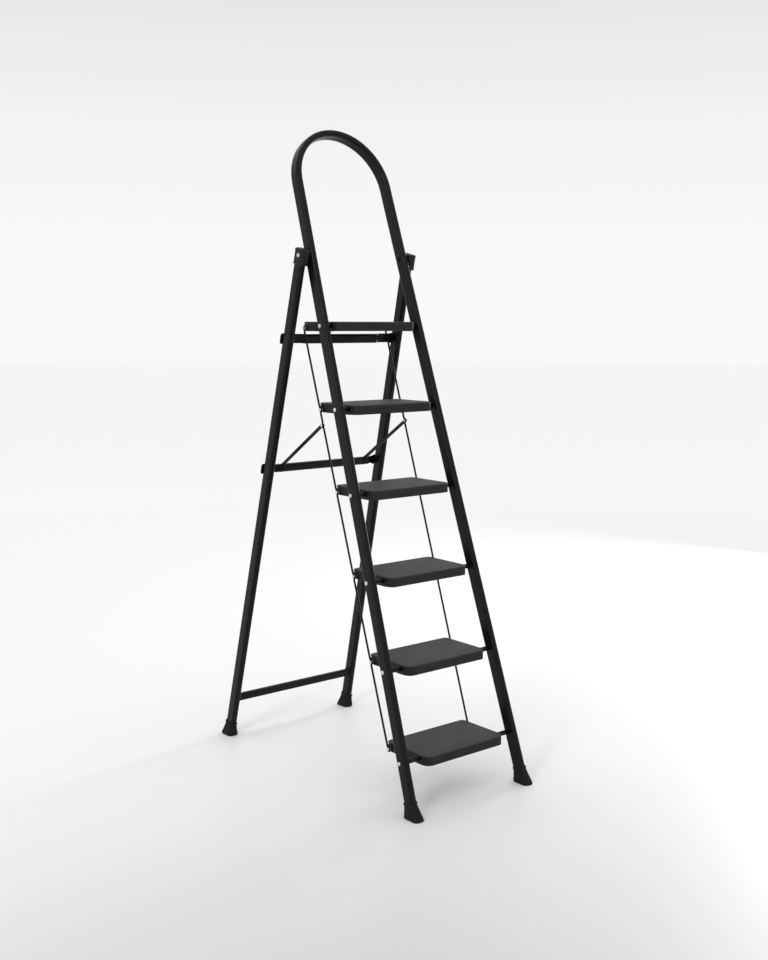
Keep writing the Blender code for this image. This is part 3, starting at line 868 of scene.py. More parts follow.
@dataclass(frozen=True)
class RivetHead:
    """One end of a rivet."""

    radius: float
    height: float
    style: HeadStyle = HeadStyle.DOMED
    facets: int = 7
    rim_share: float = 0.22
    crater_share: float = 0.42

    def outward(self, face: float) -> list[Point]:
        """Profile from the face the head stands on to the pole.

        Args:
            face: Place of that face along the axis.

        Returns:
            Pairs of place along the axis and radius.
        """
        rim = self.rim_share * self.height
        points = [(face, 0.94 * self.radius), (face + 0.4 * rim, self.radius), (face + rim, self.radius)]
        if self.style is HeadStyle.CLENCHED:
            return points + self._lip(face, rim)
        for rise, run in quarter(self.facets)[1:]:
            points.append((face + rim + (self.height - rim) * rise, self.radius * run))
        return points

    def _lip(self, face: float, rim: float) -> list[Point]:
        """The rolled lip and the crater of a clenched end.

        Args:
            face: Place of the face the head stands on.
            rim: Height of the straight rim under the lip.

        Returns:
            Pairs of place along the axis and radius.
        """
        crater = self.crater_share * self.radius
        lip = 0.5 * (self.radius - crater)
        points = []
        for step in range(1, self.facets + 1):
            turn = math.pi * step / self.facets
            across = self.radius - lip + lip * math.cos(turn)
            points.append((face + rim + (self.height - rim) * math.sin(turn), across))
        bed = face + 0.1 * rim
        return points + [(bed, 0.85 * crater), (bed, 0.0)]

    def inward(self, face: float) -> list[Point]:
        """The same profile on the side that looks to the middle, from the pole to the face."""
        return [(2 * face - along, radius) for along, radius in reversed(self.outward(face))]


PIVOT_HEAD = RivetHead(0.0060, 0.0030)
PIVOT_TAIL = RivetHead(0.0060, 0.0030, HeadStyle.CLENCHED)
PIVOT_SHANK = 0.004
PIN_HEAD = RivetHead(0.0045, 0.0024)
PIN_TAIL = RivetHead(0.0045, 0.0024, HeadStyle.CLENCHED)
PIN_SHANK = 0.0023


@dataclass(frozen=True)
class Foot:
    """A flared rubber foot with a beaded collar and a grooved sole.

    Heights are shares, 0 at the sole and 1 at the collar. The sole's stations pair a height with how
    far the section has opened out, and the collar's pair a height with a share of the bead.
    """

    plane: Plane
    outward: int
    tube: Tube = Tube()
    height: float = 0.047
    wall: float = 0.0019
    toe: float = 0.0315
    heel: float = 0.0270
    half_width: float = 0.0178
    corner: float = 0.0095
    corner_facets: int = 7
    bead: float = 0.0013
    sole: tuple[Point, ...] = (
        (0.0, 0.90), (0.015, 0.97), (0.05, 1.0), (0.11, 0.97), (0.12, 0.93), (0.14, 0.93)
    )
    flare: Span = (0.15, 0.86)
    flare_size: float = 0.94
    flare_power: float = 1.25
    flare_steps: int = 10
    collar: tuple[Point, ...] = ((0.875, 0.0), (0.89, 1.0), (0.96, 1.0), (0.985, 0.5), (1.0, -0.4))
    pocket_floor: float = 0.45
    sole_rim: float = 0.003
    sole_bands: int = 9
    groove_depth: float = 0.0014

    @property
    def collar_half(self) -> tuple[float, float]:
        """Half the width and half the depth of the collar."""
        return self.tube.half_width + self.wall, self.tube.half_depth + self.wall

    def station(self, share: float, flare: float, grow: float = 0.0) -> Matrix:
        """Place and size of the foot's section.

        Args:
            share: Height from the sole, 0, to the collar, 1.
            flare: How far the section has opened out, 0 at the collar and 1 at the sole.
            grow: Extra size all round.

        Returns:
            The matrix that takes the collar's section there.
        """
        base, depth = self.collar_half
        half = blend(base, self.half_width, flare) + grow
        toe = blend(depth, self.toe, flare) + grow
        heel = blend(depth, self.heel, flare) + grow
        low, high = (-toe, heel) if self.outward < 0 else (-heel, toe)
        lean = math.cos(self.plane.angle)
        scale_y = (high - low) / 2 / depth * lean
        middle = (high + low) / 2 * lean
        tilt = math.tan(self.plane.angle) * (1.0 - share)
        matrix = Matrix.Identity(4)
        matrix[0][0] = half / base
        matrix[1][1] = scale_y
        matrix[1][3] = middle
        matrix[2][1] = scale_y * tilt
        matrix[2][3] = middle * tilt + self.height * share
        return matrix

    def build(self, bench: Bench, name: str, node: str, body: str, side: int) -> None:
        """Makes one foot.

        Args:
            bench: Takes the finished piece.
            name: Name of the piece.
            node: Frame node that it stands for.
            body: Body that it moves with.
            side: -1 on the left, 1 on the right.
        """
        stations = [self.station(share, flare) for share, flare in self.sole]
        for step in range(self.flare_steps + 1):
            done = step / self.flare_steps
            flare = self.flare_size * (1.0 - done) ** self.flare_power
            stations.append(self.station(blend(*self.flare, done), flare))
        stations += [self.station(share, 0.0, bead * self.bead) for share, bead in self.collar]
        pocket = CLEARANCE - self.wall
        stations += [self.station(1.0, 0.0, pocket), self.station(self.pocket_floor, 0.0, pocket)]
        blank = Blank()
        blank.sweep(blank.ring(*self.collar_half, self.corner, self.corner_facets), stations)
        self._groove_sole(blank)
        across = Matrix.Translation((side * self.plane.leg_x(self.height / 2), 0, 0))
        bench.deliver(blank, name, Slot.FOOT_RUBBER, body, [node], self.plane.matrix @ across)

    def _groove_sole(self, blank: Blank) -> None:
        """Presses cross grooves into the underside.

        Args:
            blank: The foot in the making.
        """
        ends = [face for face in blank.bm.faces if len(face.verts) > 4]
        sole = min(ends, key=lambda face: face.calc_center_median().z)
        bmesh.ops.inset_region(blank.bm, faces=[sole], thickness=self.sole_rim)
        low = min(vert.co.y for vert in sole.verts)
        high = max(vert.co.y for vert in sole.verts)
        bands = [sole]
        for index in range(1, self.sole_bands):
            point = Vector((0, blend(low, high, index / self.sole_bands), 0))
            bands = blank.cut(bands, point, Vector((0, 1, 0)))
        grooves = []
        for band in bands:
            share = (band.calc_center_median().y - low) / (high - low)
            if int(share * self.sole_bands) % 2:
                grooves.append(band)
        for groove in grooves:
            blank.push([groove], (0.0, 0.0, self.groove_depth))


# ---------------------------------------------------------------- front frame


@dataclass
class HoopedFrame:
    """The front frame: one bent tube from foot to foot over the hoop."""

    bench: Bench
    layout: Layout
    tube: Tube = Tube()
    crown_s: float = 1.9876
    bend_steps: int = 84
    spacer_radius: float = 0.0068
    spacer_start: float = 0.1474
    spacer_edge: float = 0.0006
    head_root: float = 0.001
    facets: int = 40

    def build(self) -> None:
        """Makes the tube, its feet, the step axles and the hinge rivets."""
        self._tube()
        foot = Foot(self.layout.front, -1)
        for name, side in SIDES.items():
            foot.build(self.bench, f"front_boot_{name}", f"front_foot_{name}", "front_frame", side)
            self._hinge_rivet(name, side)
        for index in range(STEPS):
            self._axle(index)

    def _tube(self) -> None:
        """Bends the tube: up one stile, round the hoop and down the other."""
        plane = self.layout.front
        taper = plane.taper * math.cos(plane.angle)
        tilt = math.atan(taper)
        radius = (plane.half_width - taper * self.crown_s) / (math.cos(tilt) - taper * (1 - math.sin(tilt)))
        centre = self.crown_s - radius
        bend_x, bend_z = radius * math.cos(tilt), centre + radius * math.sin(tilt)
        foot_x, foot_z = plane.leg_x(self.tube.start), self.tube.start
        lean = Matrix.Rotation(-tilt, 4, "Y")
        foot = Matrix.Translation((foot_x, 0, foot_z)) @ lean
        bend = Matrix.Translation((bend_x, 0, bend_z)) @ lean
        blank = Blank()
        ring = self.tube.ring(blank)
        blank.move(ring, foot)
        bmesh.ops.edgeloop_fill(blank.bm, edges=ring)
        top = blank.draw(ring, [Matrix.Identity(4), bend @ foot.inverted()])
        verts = list({vert for edge in top for vert in edge.verts})
        made = bmesh.ops.spin(
            blank.bm, geom=verts + top, cent=(0, 0, centre), axis=(0, -1, 0), dvec=(0, 0, 0),
            angle=math.pi - 2 * tilt, steps=self.bend_steps, use_merge=False, use_duplicate=False,
        )
        last = [part for part in made["geom_last"] if isinstance(part, bmesh.types.BMEdge)]
        down = Matrix.Translation((bend_x - foot_x, 0, foot_z - bend_z))
        end = blank.draw(last, [Matrix.Identity(4), down])
        bmesh.ops.edgeloop_fill(blank.bm, edges=end)
        self.bench.deliver(
            blank, "hooped_tube", Slot.FRAME_PAINT, "front_frame", ["front_tube"], plane.matrix
        )

    def _axle(self, index: int) -> None:
        """Makes one step axle with its spacers, and its riveted ends.

        Args:
            index: Number of the step, from 0.
        """
        pivot = self.layout.steps[index]
        stile = self.layout.stile_x(pivot)
        outer = stile + self.tube.half_width + CLEARANCE
        inner = stile - self.tube.half_width - 2 * CLEARANCE
        start, radius, edge = self.spacer_start, self.spacer_radius, self.spacer_edge
        half = [
            (start, PIVOT_SHANK), (start, radius - edge), (start + edge, radius), (inner - edge, radius),
            (inner, radius - edge), (inner, 0.0),
        ]
        place = Matrix.Translation((0, pivot.y, pivot.z))
        whole = [(-along, across) for along, across in reversed(half)] + half
        self.bench.turned(
            whole, 1, self.facets, f"step_axle_{index + 1}", Slot.FRAME_PAINT, "front_frame",
            [f"axle_{index + 1}"], place,
        )
        root = outer - self.head_root
        head = [(root, 0.0), (root, PIVOT_SHANK), (outer, PIVOT_SHANK)] + PIVOT_HEAD.outward(outer)
        for name, side in SIDES.items():
            self.bench.turned(
                head, side, self.facets, f"axle_head_{name}_{index + 1}", Slot.RIVET_STEEL, "front_frame",
                [], place,
            )

    def _hinge_rivet(self, name: str, side: int) -> None:
        """Makes the rivet that joins stile, cap and rear leg.

        Args:
            name: Name of the side.
            side: -1 on the left, 1 on the right.
        """
        hinge = self.layout.hinge
        inner = self.layout.stile_x(hinge) - self.tube.half_width - CLEARANCE
        leg = self.layout.rear.leg_x(self.layout.rear.local(hinge).z)
        outer = leg + RearFrame.cap_half_width + CLEARANCE
        middle = inner + self.head_root
        place = Matrix.Translation((0, hinge.y, hinge.z))
        head = [(middle, 0.0), (middle, PIVOT_SHANK), (outer, PIVOT_SHANK)] + PIVOT_HEAD.outward(outer)
        tail = PIVOT_TAIL.inward(inner) + [(inner, PIVOT_SHANK), (middle, PIVOT_SHANK), (middle, 0.0)]
        self.bench.turned(
            head, side, self.facets, f"frame_rivet_{name}", Slot.RIVET_STEEL, "front_frame",
            [f"hinge_rivet_{name}"], place,
        )
        self.bench.turned(
            tail, side, self.facets, f"frame_tail_{name}", Slot.FRAME_PAINT, "front_frame", [], place
        )


# ---------------------------------------------------------------- rear frame


@dataclass
class RearFrame:
    """The rear frame: two legs under hinge caps, tied by three crossbars.

    The cap's rim and band and the bottom bar's flange are pairs: the cap's pair a distance from its
    lower or upper end with an inset, and the flange's pair a distance from the leg with a lip.
    """

    bench: Bench
    layout: Layout
    tube: Tube = Tube()
    cap_half_width: float = 0.0140
    cap_half_depth: float = 0.0240
    cap_forward: float = 0.0030
    cap_corner: float = 0.010
    cap_corner_facets: int = 9
    cap_below: float = 0.027
    cap_above: float = 0.0190
    cap_roof: float = 0.008
    cap_edge: float = 0.0032
    cap_edge_steps: int = 5
    cap_hollow: float = 0.012
    cap_rim: tuple[Point, ...] = ((0.0, 0.0009), (0.0009, 0.0), (0.0045, 0.0), (0.0052, 0.0005))
    cap_band: tuple[Point, ...] = ((0.0095, 0.0005), (0.0088, 0.0))
    boss_radius: float = 0.011
    boss_edge: float = 0.0008
    boss_root: float = 0.008
    boss_facets: int = 44
    bar_half_height: float = 0.0125
    bar_span: Span = (0.009, 0.0245)
    bar_corner: float = 0.006
    bar_corner_facets: int = 5
    tab_thickness: float = 0.003
    tab_half_height: float = 0.016
    tab_overhang: float = 0.005
    tab_corner: float = 0.005
    tab_corner_steps: int = 4
    tab_shoulder: Span = (0.0010, 0.0060)
    tie_root: float = 0.002
    tie_shank: float = 0.003
    tie_facets: int = 36
    top_flat: float = 0.043
    middle_flat: float = 0.008
    flat_slope: float = 0.022
    slope_steps: int = 8
    notch: Span = (0.1570, 0.1612)
    notch_floor: float = -0.0025
    top_bar_z: float = 1.2735
    top_bar_half_height: float = 0.0142
    middle_bar_z: float = 0.880
    bottom_bar_z: float = 0.128
    bottom_bar_half_depth: float = 0.0085
    bottom_bar_corner_facets: int = 6
    flange: tuple[Point, ...] = (
        (0.0, 0.0018), (0.0008, 0.0025), (0.0034, 0.0025), (0.0044, 0.0018), (0.0052, 0.0006), (0.0062, 0.0)
    )

    def build(self) -> None:
        """Makes the legs, feet, caps and crossbars."""
        foot = Foot(self.layout.rear, 1)
        for name, side in SIDES.items():
            self._leg(name, side)
            self._cap(name, side)
            foot.build(self.bench, f"rear_boot_{name}", f"rear_foot_{name}", "rear_frame", side)
        self._pressed_bar("top", self.top_bar_z, self.top_bar_half_height, self.top_flat, False)
        self._pressed_bar("middle", self.middle_bar_z, self.bar_half_height, self.middle_flat, True)
        self._straight_bar()

    def _up(self, z: float) -> float:
        """Distance up the slope for a height above the floor."""
        return z / math.cos(self.layout.rear.angle)

    def _hinge_s(self) -> float:
        """Place of the hinge up the slope."""
        return self.layout.rear.local(self.layout.hinge).z

    def _leg(self, name: str, side: int) -> None:
        """Makes one leg.

        Args:
            name: Name of the side.
            side: -1 on the left, 1 on the right.
        """
        rear = self.layout.rear
        ends = (self.tube.start, self._hinge_s() + self.cap_above - self.cap_roof)
        blank = Blank()
        blank.sweep(self.tube.ring(blank), [section_matrix(side * rear.leg_x(s), 0.0, s) for s in ends])
        self.bench.deliver(
            blank, f"back_leg_{name}", Slot.FRAME_PAINT, "rear_frame", [f"rear_leg_{name}"], rear.matrix
        )

    def _cap_station(self, side: int, s: float, inset: float) -> Matrix:
        """The cap's section at a place up the slope.

        Args:
            side: -1 on the left, 1 on the right.
            s: Place up the slope.
            inset: How far the section is drawn in.

        Returns:
            The matrix that takes the cap's own section there.
        """
        scale_x = 1 - inset / self.cap_half_width
        scale_y = 1 - inset / self.cap_half_depth
        return section_matrix(side * self.layout.rear.leg_x(s), -self.cap_forward, s, scale_x, scale_y)

    def _cap(self, name: str, side: int) -> None:
        """Makes one hinge cap: a rounded hood over the leg with a boss towards the stile.

        Args:
            name: Name of the side.
            side: -1 on the left, 1 on the right.
        """
        rear = self.layout.rear
        hinge_s = self._hinge_s()
        low, high = hinge_s - self.cap_below, hinge_s + self.cap_above
        wall = self.cap_half_width - self.tube.half_width - CLEARANCE
        profile = [(low + self.cap_hollow, wall), (low, wall)]
        profile += [(low + rise, inset) for rise, inset in self.cap_rim]
        profile += [(high - drop, inset) for drop, inset in self.cap_band]
        for rise, run in quarter(self.cap_edge_steps):
            profile.append((high - self.cap_edge * (1 - rise), self.cap_edge * (1 - run)))
        blank = Blank()
        ring = blank.ring(self.cap_half_width, self.cap_half_depth, self.cap_corner, self.cap_corner_facets)
        blank.sweep(ring, [self._cap_station(side, s, inset) for s, inset in profile])
        blank.join(self._boss(side, rear.leg_x(hinge_s)))
        self.bench.deliver(
            blank, f"hinge_hood_{name}", Slot.CAP_PLASTIC, "rear_frame", [f"hinge_cap_{name}"], rear.matrix
        )

    def _boss(self, side: int, leg: float) -> Blank:
        """Turns the boss between a cap and its stile.

        Args:
            side: -1 on the left, 1 on the right.
            leg: Distance of the leg's centre line from the middle.

        Returns:
            The boss in the rear frame's plane.
        """
        start = self.layout.stile_x(self.layout.hinge) + self.tube.half_width + 2 * CLEARANCE
        radius, root = self.boss_radius, leg - self.boss_root
        profile = [(start, 0.0), (start, radius - self.boss_edge), (start + self.boss_edge, radius)]
        profile += [(root, radius), (root, 0.0)]
        centre = self.layout.rear.local(self.layout.hinge)
        boss = Blank()
        boss.turn([(side * along, across) for along, across in profile], self.boss_facets)
        place = Matrix.Translation((0, centre.y, centre.z))
        bmesh.ops.transform(boss.bm, matrix=place, verts=boss.bm.verts)
        return boss

    @property
    def _bar_half_depth(self) -> float:
        """Half the depth of a crossbar's section."""
        return (self.bar_span[1] - self.bar_span[0]) / 2

    def _bar_station(self, x: float, s: float, span: Span, half_height: float, shift: float = 0.0) -> Matrix:
        """Upright section of a crossbar.

        Args:
            x: Place along the bar.
            s: Height of its centre line up the slope.
            span: Front and rear of the section.
            half_height: Half its height.
            shift: How far the section stands above the centre line.

        Returns:
            The matrix that takes the bar's own section there.
        """
        matrix = Matrix.Identity(4)
        matrix[0][0], matrix[0][2] = 0.0, 1.0
        matrix[2][0], matrix[2][2] = half_height / self.bar_half_height, 0.0
        matrix[1][1] = (span[1] - span[0]) / 2 / self._bar_half_depth
        matrix[0][3], matrix[1][3], matrix[2][3] = x, (span[0] + span[1]) / 2, s + shift
        return matrix

    def _bar(self, name: str, half_side: list[Matrix], facets: int) -> None:
        """Draws a crossbar through its sections and their mirror images.

        Args:
            name: Which bar it is.
            half_side: Its sections on the right, from the tip to the middle.
            facets: Facets of each corner.
        """
        mirror = Matrix.Diagonal((-1.0, 1.0, 1.0, 1.0))
        blank = Blank()
        ring = blank.ring(self.bar_half_height, self._bar_half_depth, self.bar_corner, facets)
        blank.sweep(ring, [mirror @ matrix for matrix in half_side] + half_side[::-1])
        self.bench.deliver(
            blank, f"rear_tie_{name}", Slot.FRAME_PAINT, "rear_frame", [f"crossbar_{name}"],
            self.layout.rear.matrix,
        )

    def _pressed_bar(self, name: str, z: float, half_height: float, flat: float, notched: bool) -> None:
        """Makes a crossbar with flattened ends that are riveted behind the legs.

        Args:
            name: Which bar it is.
            z: Height of its centre line.
            half_height: Half the height of its section.
            flat: How far its ends stay flat, in from the leg.
            notched: Whether it has the two notches for the diagonal links.
        """
        s = self._up(z)
        leg = self.layout.rear.leg_x(s)
        inner_face = leg - self.tube.half_width
        tip = leg + self.tube.half_width + self.tab_overhang
        low = self.tube.half_depth + CLEARANCE
        tab = (low, low + self.tab_thickness)
        half_side = []
        for rise, run in quarter(self.tab_corner_steps):
            x = tip - self.tab_corner * (1 - run)
            height = self.tab_half_height - self.tab_corner * (1 - rise)
            half_side.append(self._bar_station(x, s, tab, height))
        for back, height in zip(self.tab_shoulder, (self.tab_half_height, half_height)):
            half_side.append(self._bar_station(inner_face - back, s, tab, height))
        for step in range(self.slope_steps + 1):
            share = step / self.slope_steps
            x = inner_face - flat - self.flat_slope * share
            front = blend(tab[0], self.bar_span[0], ease(share))
            rear = blend(tab[1], self.bar_span[1], ease(share))
            half_side.append(self._bar_station(x, s, (front, rear), half_height))
        if notched:
            full = (self.bar_half_height, 0.0)
            half, floor = self.bar_half_height, self.notch_floor
            lowered = ((half + floor) / 2, (floor - half) / 2)
            near, far = self.notch
            for x, (height, shift) in ((far, full), (far, lowered), (near, lowered), (near, full)):
                half_side.append(self._bar_station(x, s, self.bar_span, height, shift))
        self._bar(name, half_side, self.bar_corner_facets)
        root = tab[1] - self.tie_root
        profile = [(root, 0.0), (root, self.tie_shank)] + PIN_HEAD.outward(tab[1] + CLEARANCE)
        for side_name, side in SIDES.items():
            place = Matrix.Translation((side * leg, 0, s)) @ Matrix.Rotation(math.pi / 2, 4, "Z")
            self.bench.turned(
                profile, 1, self.tie_facets, f"tie_rivet_{name}_{side_name}", Slot.RIVET_STEEL, "rear_frame",
                [], self.layout.rear.matrix @ place,
            )

    def _straight_bar(self) -> None:
        """Makes the lowest crossbar: a straight tube with a rounded flange at each leg."""
        s = self._up(self.bottom_bar_z)
        end = self.layout.rear.leg_x(s) - self.tube.half_width - CLEARANCE
        half_side = []
        for back, lip in self.flange:
            depth = self.bottom_bar_half_depth + lip
            half_side.append(self._bar_station(end - back, s, (-depth, depth), self.bar_half_height + lip))
        self._bar("bottom", half_side, self.bottom_bar_corner_facets)


# ---------------------------------------------------------------- steps


@dataclass
class Steps:
    """Six folding steps: a ribbed tread on two pressed side arms."""

    bench: Bench
    layout: Layout
    wire: Wire = Wire()
    half_length: float = 0.147
    front: float = -0.0376
    rear: float = 0.138
    top: float = 0.0125
    bottom: float = -0.0155
    corners: tuple[float, float] = (0.022, 0.012)
    corner_facets: int = 9
    edge: float = 0.003
    edge_steps: int = 5
    lower_edge: float = 0.0008
    # Painted light on the tread's colour: the rounded rim gets a painted highlight and the top a lighter
    # tone; the skirt gets none and stays in painted shade.
    rim_highlight: float = 1.0
    top_light: float = 0.62
    seat_x: float = 0.1320
    seat_front: float = -0.0145
    seat_top: float = 0.0070
    wall: float = 0.0035
    slab: float = 0.0040
    cross_ribs: int = 6
    cross_rib_pitch: float = 0.043
    long_ribs: tuple[float, ...] = (0.022, 0.064, 0.104)
    rib_half: float = 0.0011
    rib_relief: float = 0.0025
    arm_inner: float = 0.1445
    arm_outer: float = 0.1470
    arm_corners: tuple[float, float] = (0.0020, 0.0045)
    arm_corner_facets: int = 5
    arm_beyond_rod: float = 0.009
    arm_edge: float = 0.0005
    panel_low: float = 0.0065
    panel_high: float = 0.0070
    panel_front: float = 0.006
    panel_rear: float = 0.022
    panel_depth: float = 0.0008
    ledge_x: float = 0.1325
    ledge_lap: float = 0.0004
    ledge_thickness: float = 0.0020
    ledge_short: float = 0.004
    ledge_edge: float = 0.0003
    collar_radius: float = 0.0045
    collar_edge: float = 0.0004
    collar_chamfer: float = 0.0003
    pin_facets: int = 32

    def build(self) -> None:
        """Makes every step."""
        for index in range(STEPS):
            body = f"step_{index + 1}"
            place = Matrix.Translation(self.layout.steps[index])
            self._tread(index, body, place)
            for name, side in SIDES.items():
                self._arm(f"{name}_{index + 1}", side, body, place)
                self._rod_pin(f"{name}_{index + 1}", side, body, self.layout.rod_pins[index])

    def _rim(self, z: float, inset: float) -> Matrix:
        """The tread's outline at a height, drawn in by an inset.

        Args:
            z: The height.
            inset: How far it is drawn in.

        Returns:
            The matrix that takes the outline there from z = 0.
        """
        half_depth = (self.rear - self.front) / 2
        centre = Matrix.Translation((0, (self.front + self.rear) / 2, 0))
        scale = Matrix.Diagonal((1 - inset / self.half_length, 1 - inset / half_depth, 1.0, 1.0))
        return Matrix.Translation((0, 0, z)) @ centre @ scale @ centre.inverted()

    def _tread(self, index: int, body: str, place: Matrix) -> None:
        """Moulds one tread: a slab, a skirt between the arms, and ribs underneath.

        Args:
            index: Number of the step, from 0.
            body: Body that it moves with.
            place: Where the step's axle is.
        """
        blank = Blank()
        slab = blank.rounded_face(
            (-self.half_length, self.half_length), (self.front, self.rear), self.corners, self.corner_facets
        )
        ring = list(slab.edges)
        seat = Matrix.Translation((0, 0, self.seat_top))
        blank.move(ring, seat)
        levels = [seat]
        for rise, run in quarter(self.edge_steps):
            levels.append(self._rim(self.top - self.edge * (1 - rise), self.edge * (1 - run)))
        last = blank.draw(ring, [seat.inverted() @ matrix for matrix in levels])
        bmesh.ops.edgeloop_fill(blank.bm, edges=last)
        self._skirt(blank, slab)
        self._paint_tread_light(blank)
        name = f"moulded_tread_{index + 1}"
        self.bench.deliver(blank, name, Slot.TREAD_PLASTIC, body, [f"tread_{index + 1}"], place)

    def _paint_tread_light(self, blank: Blank) -> None:
        """Stores the painted light on each corner: a painted highlight on the rim, a lighter top, and none on
        the skirt, which stays in painted shade.

        Args:
            blank: The tread in the making.
        """
        wear = blank.bm.verts.layers.float.new(PAINTED_LIGHT)
        for vert in blank.bm.verts:
            share = (vert.co.z - self.top + self.edge) / self.edge
            vert[wear] = 0.0 if share < 0.2 else self.rim_highlight if share < 0.97 else self.top_light

    def _skirt(self, blank: Blank, slab: bmesh.types.BMFace) -> None:
        """Draws the skirt down from the slab's underside and hollows it, leaving ribs.

        Args:
            blank: The tread in the making.
            slab: The slab's underside.
        """
        faces = blank.cut_all([slab], [(0, self.seat_x), (0, -self.seat_x), (1, self.seat_front)])
        kept = []
        for face in faces:
            centre = face.calc_center_median()
            if abs(centre.x) < self.seat_x or centre.y < self.seat_front:
                kept.append(face)
        lowered = blank.push(kept, (0, 0, self.bottom + self.lower_edge - self.seat_top))
        floor = bmesh.ops.dissolve_faces(blank.bm, faces=lowered)["region"][0]
        blank.chamfer(floor, self.lower_edge)
        bmesh.ops.inset_region(blank.bm, faces=[floor], thickness=self.wall, use_even_offset=True)
        ceiling = blank.push([floor], (0, 0, self.top - self.slab - self.bottom))
        self._ribs(blank, ceiling)

    def _ribs(self, blank: Blank, ceiling: list[bmesh.types.BMFace]) -> None:
        """Draws a lattice of ribs down from the ceiling of the hollow.

        Args:
            blank: The tread in the making.
            ceiling: The faces that the ribs hang from.
        """
        first = -(self.cross_ribs - 1) / 2
        lines = [(0, (first + number) * self.cross_rib_pitch) for number in range(self.cross_ribs)]
        lines += [(1, y) for y in self.long_ribs]
        sides = [(axis, place + way * self.rib_half) for axis, place in lines for way in (-1, 1)]
        ribs = []
        for face in blank.cut_all(ceiling, sides):
            centre = face.calc_center_median()
            if any(abs(centre[axis] - place) < self.rib_half for axis, place in lines):
                ribs.append(face)
        blank.push(ribs, (0, 0, self.bottom - self.top + self.slab + self.rib_relief))

    def _arm(self, name: str, side: int, body: str, place: Matrix) -> None:
        """Presses one side arm: a plate with a recessed panel and a ledge under the tread.

        Args:
            name: Name of the side and number of the step.
            side: -1 on the left, 1 on the right.
            body: Body that it moves with.
            place: Where the step's axle is.
        """
        reach = self.layout.rod_pins[0] - self.layout.steps[0]
        start = self.seat_front + CLEARANCE
        end = reach.y + self.arm_beyond_rod
        top = self.seat_top - CLEARANCE
        blank = Blank()
        plate = blank.rounded_face((self.bottom, top), (start, end), self.arm_corners, self.arm_corner_facets)
        blank.move(plate.edges, Matrix.Translation((side * self.arm_inner, 0, 0)) @ SWAP_XZ)
        thick = self.arm_outer - self.arm_inner - self.arm_edge
        moved = blank.draw(list(plate.edges), [Matrix.Identity(4), Matrix.Translation((side * thick, 0, 0))])
        outer = bmesh.ops.edgeloop_fill(blank.bm, edges=moved)["faces"][0]
        bmesh.ops.recalc_face_normals(blank.bm, faces=blank.bm.faces)
        blank.chamfer(outer, self.arm_edge)
        bounds = [(2, self.bottom + self.panel_low), (2, top - self.panel_high)]
        bounds += [(1, start + self.panel_front), (1, end - self.panel_rear)]
        middle = Vector((side * self.arm_outer, (start + end) / 2, (self.bottom + top) / 2))
        pieces = blank.cut_all([outer], bounds)
        panel = min(pieces, key=lambda face: (face.calc_center_median() - middle).length)
        bmesh.ops.inset_region(
            blank.bm, faces=[panel], thickness=self.panel_depth, depth=-self.panel_depth, use_even_offset=True
        )
        low, high = sorted((side * self.ledge_x, side * (self.arm_inner + self.ledge_lap)))
        blank.block(
            (low, start, top - self.ledge_thickness), (high, end - self.ledge_short, top), self.ledge_edge
        )
        self.bench.deliver(blank, f"pressed_arm_{name}", Slot.ARM_PAINT, body, [f"arm_{name}"], place)

    def _rod_pin(self, name: str, side: int, body: str, pin: Vector) -> None:
        """Makes the rivet through an arm and the eye of its rod.

        Args:
            name: Name of the side and number of the step.
            side: -1 on the left, 1 on the right.
            body: Body that it moves with.
            pin: Where the rivet is.
        """
        inner = self.arm_inner - CLEARANCE
        start, end = self.arm_outer + CLEARANCE, self.wire.x - self.wire.radius - 2 * CLEARANCE
        outer = self.wire.x + 2 * CLEARANCE
        radius, edge, low = self.collar_radius, self.collar_edge, self.collar_radius - self.collar_chamfer
        profile = PIN_TAIL.inward(inner) + [(inner, PIN_SHANK), (start, PIN_SHANK)]
        profile += [(start, low), (start + edge, radius), (end - edge, radius), (end, low)]
        profile += [(end, PIN_SHANK), (outer, PIN_SHANK)] + PIN_HEAD.outward(outer)
        self.bench.turned(
            profile, side, self.pin_facets, f"eye_rivet_{name}", Slot.RIVET_STEEL, body, [f"rod_pin_{name}"],
            Matrix.Translation((0, pin.y, pin.z)),
        )


# ---------------------------------------------------------------- rods and links


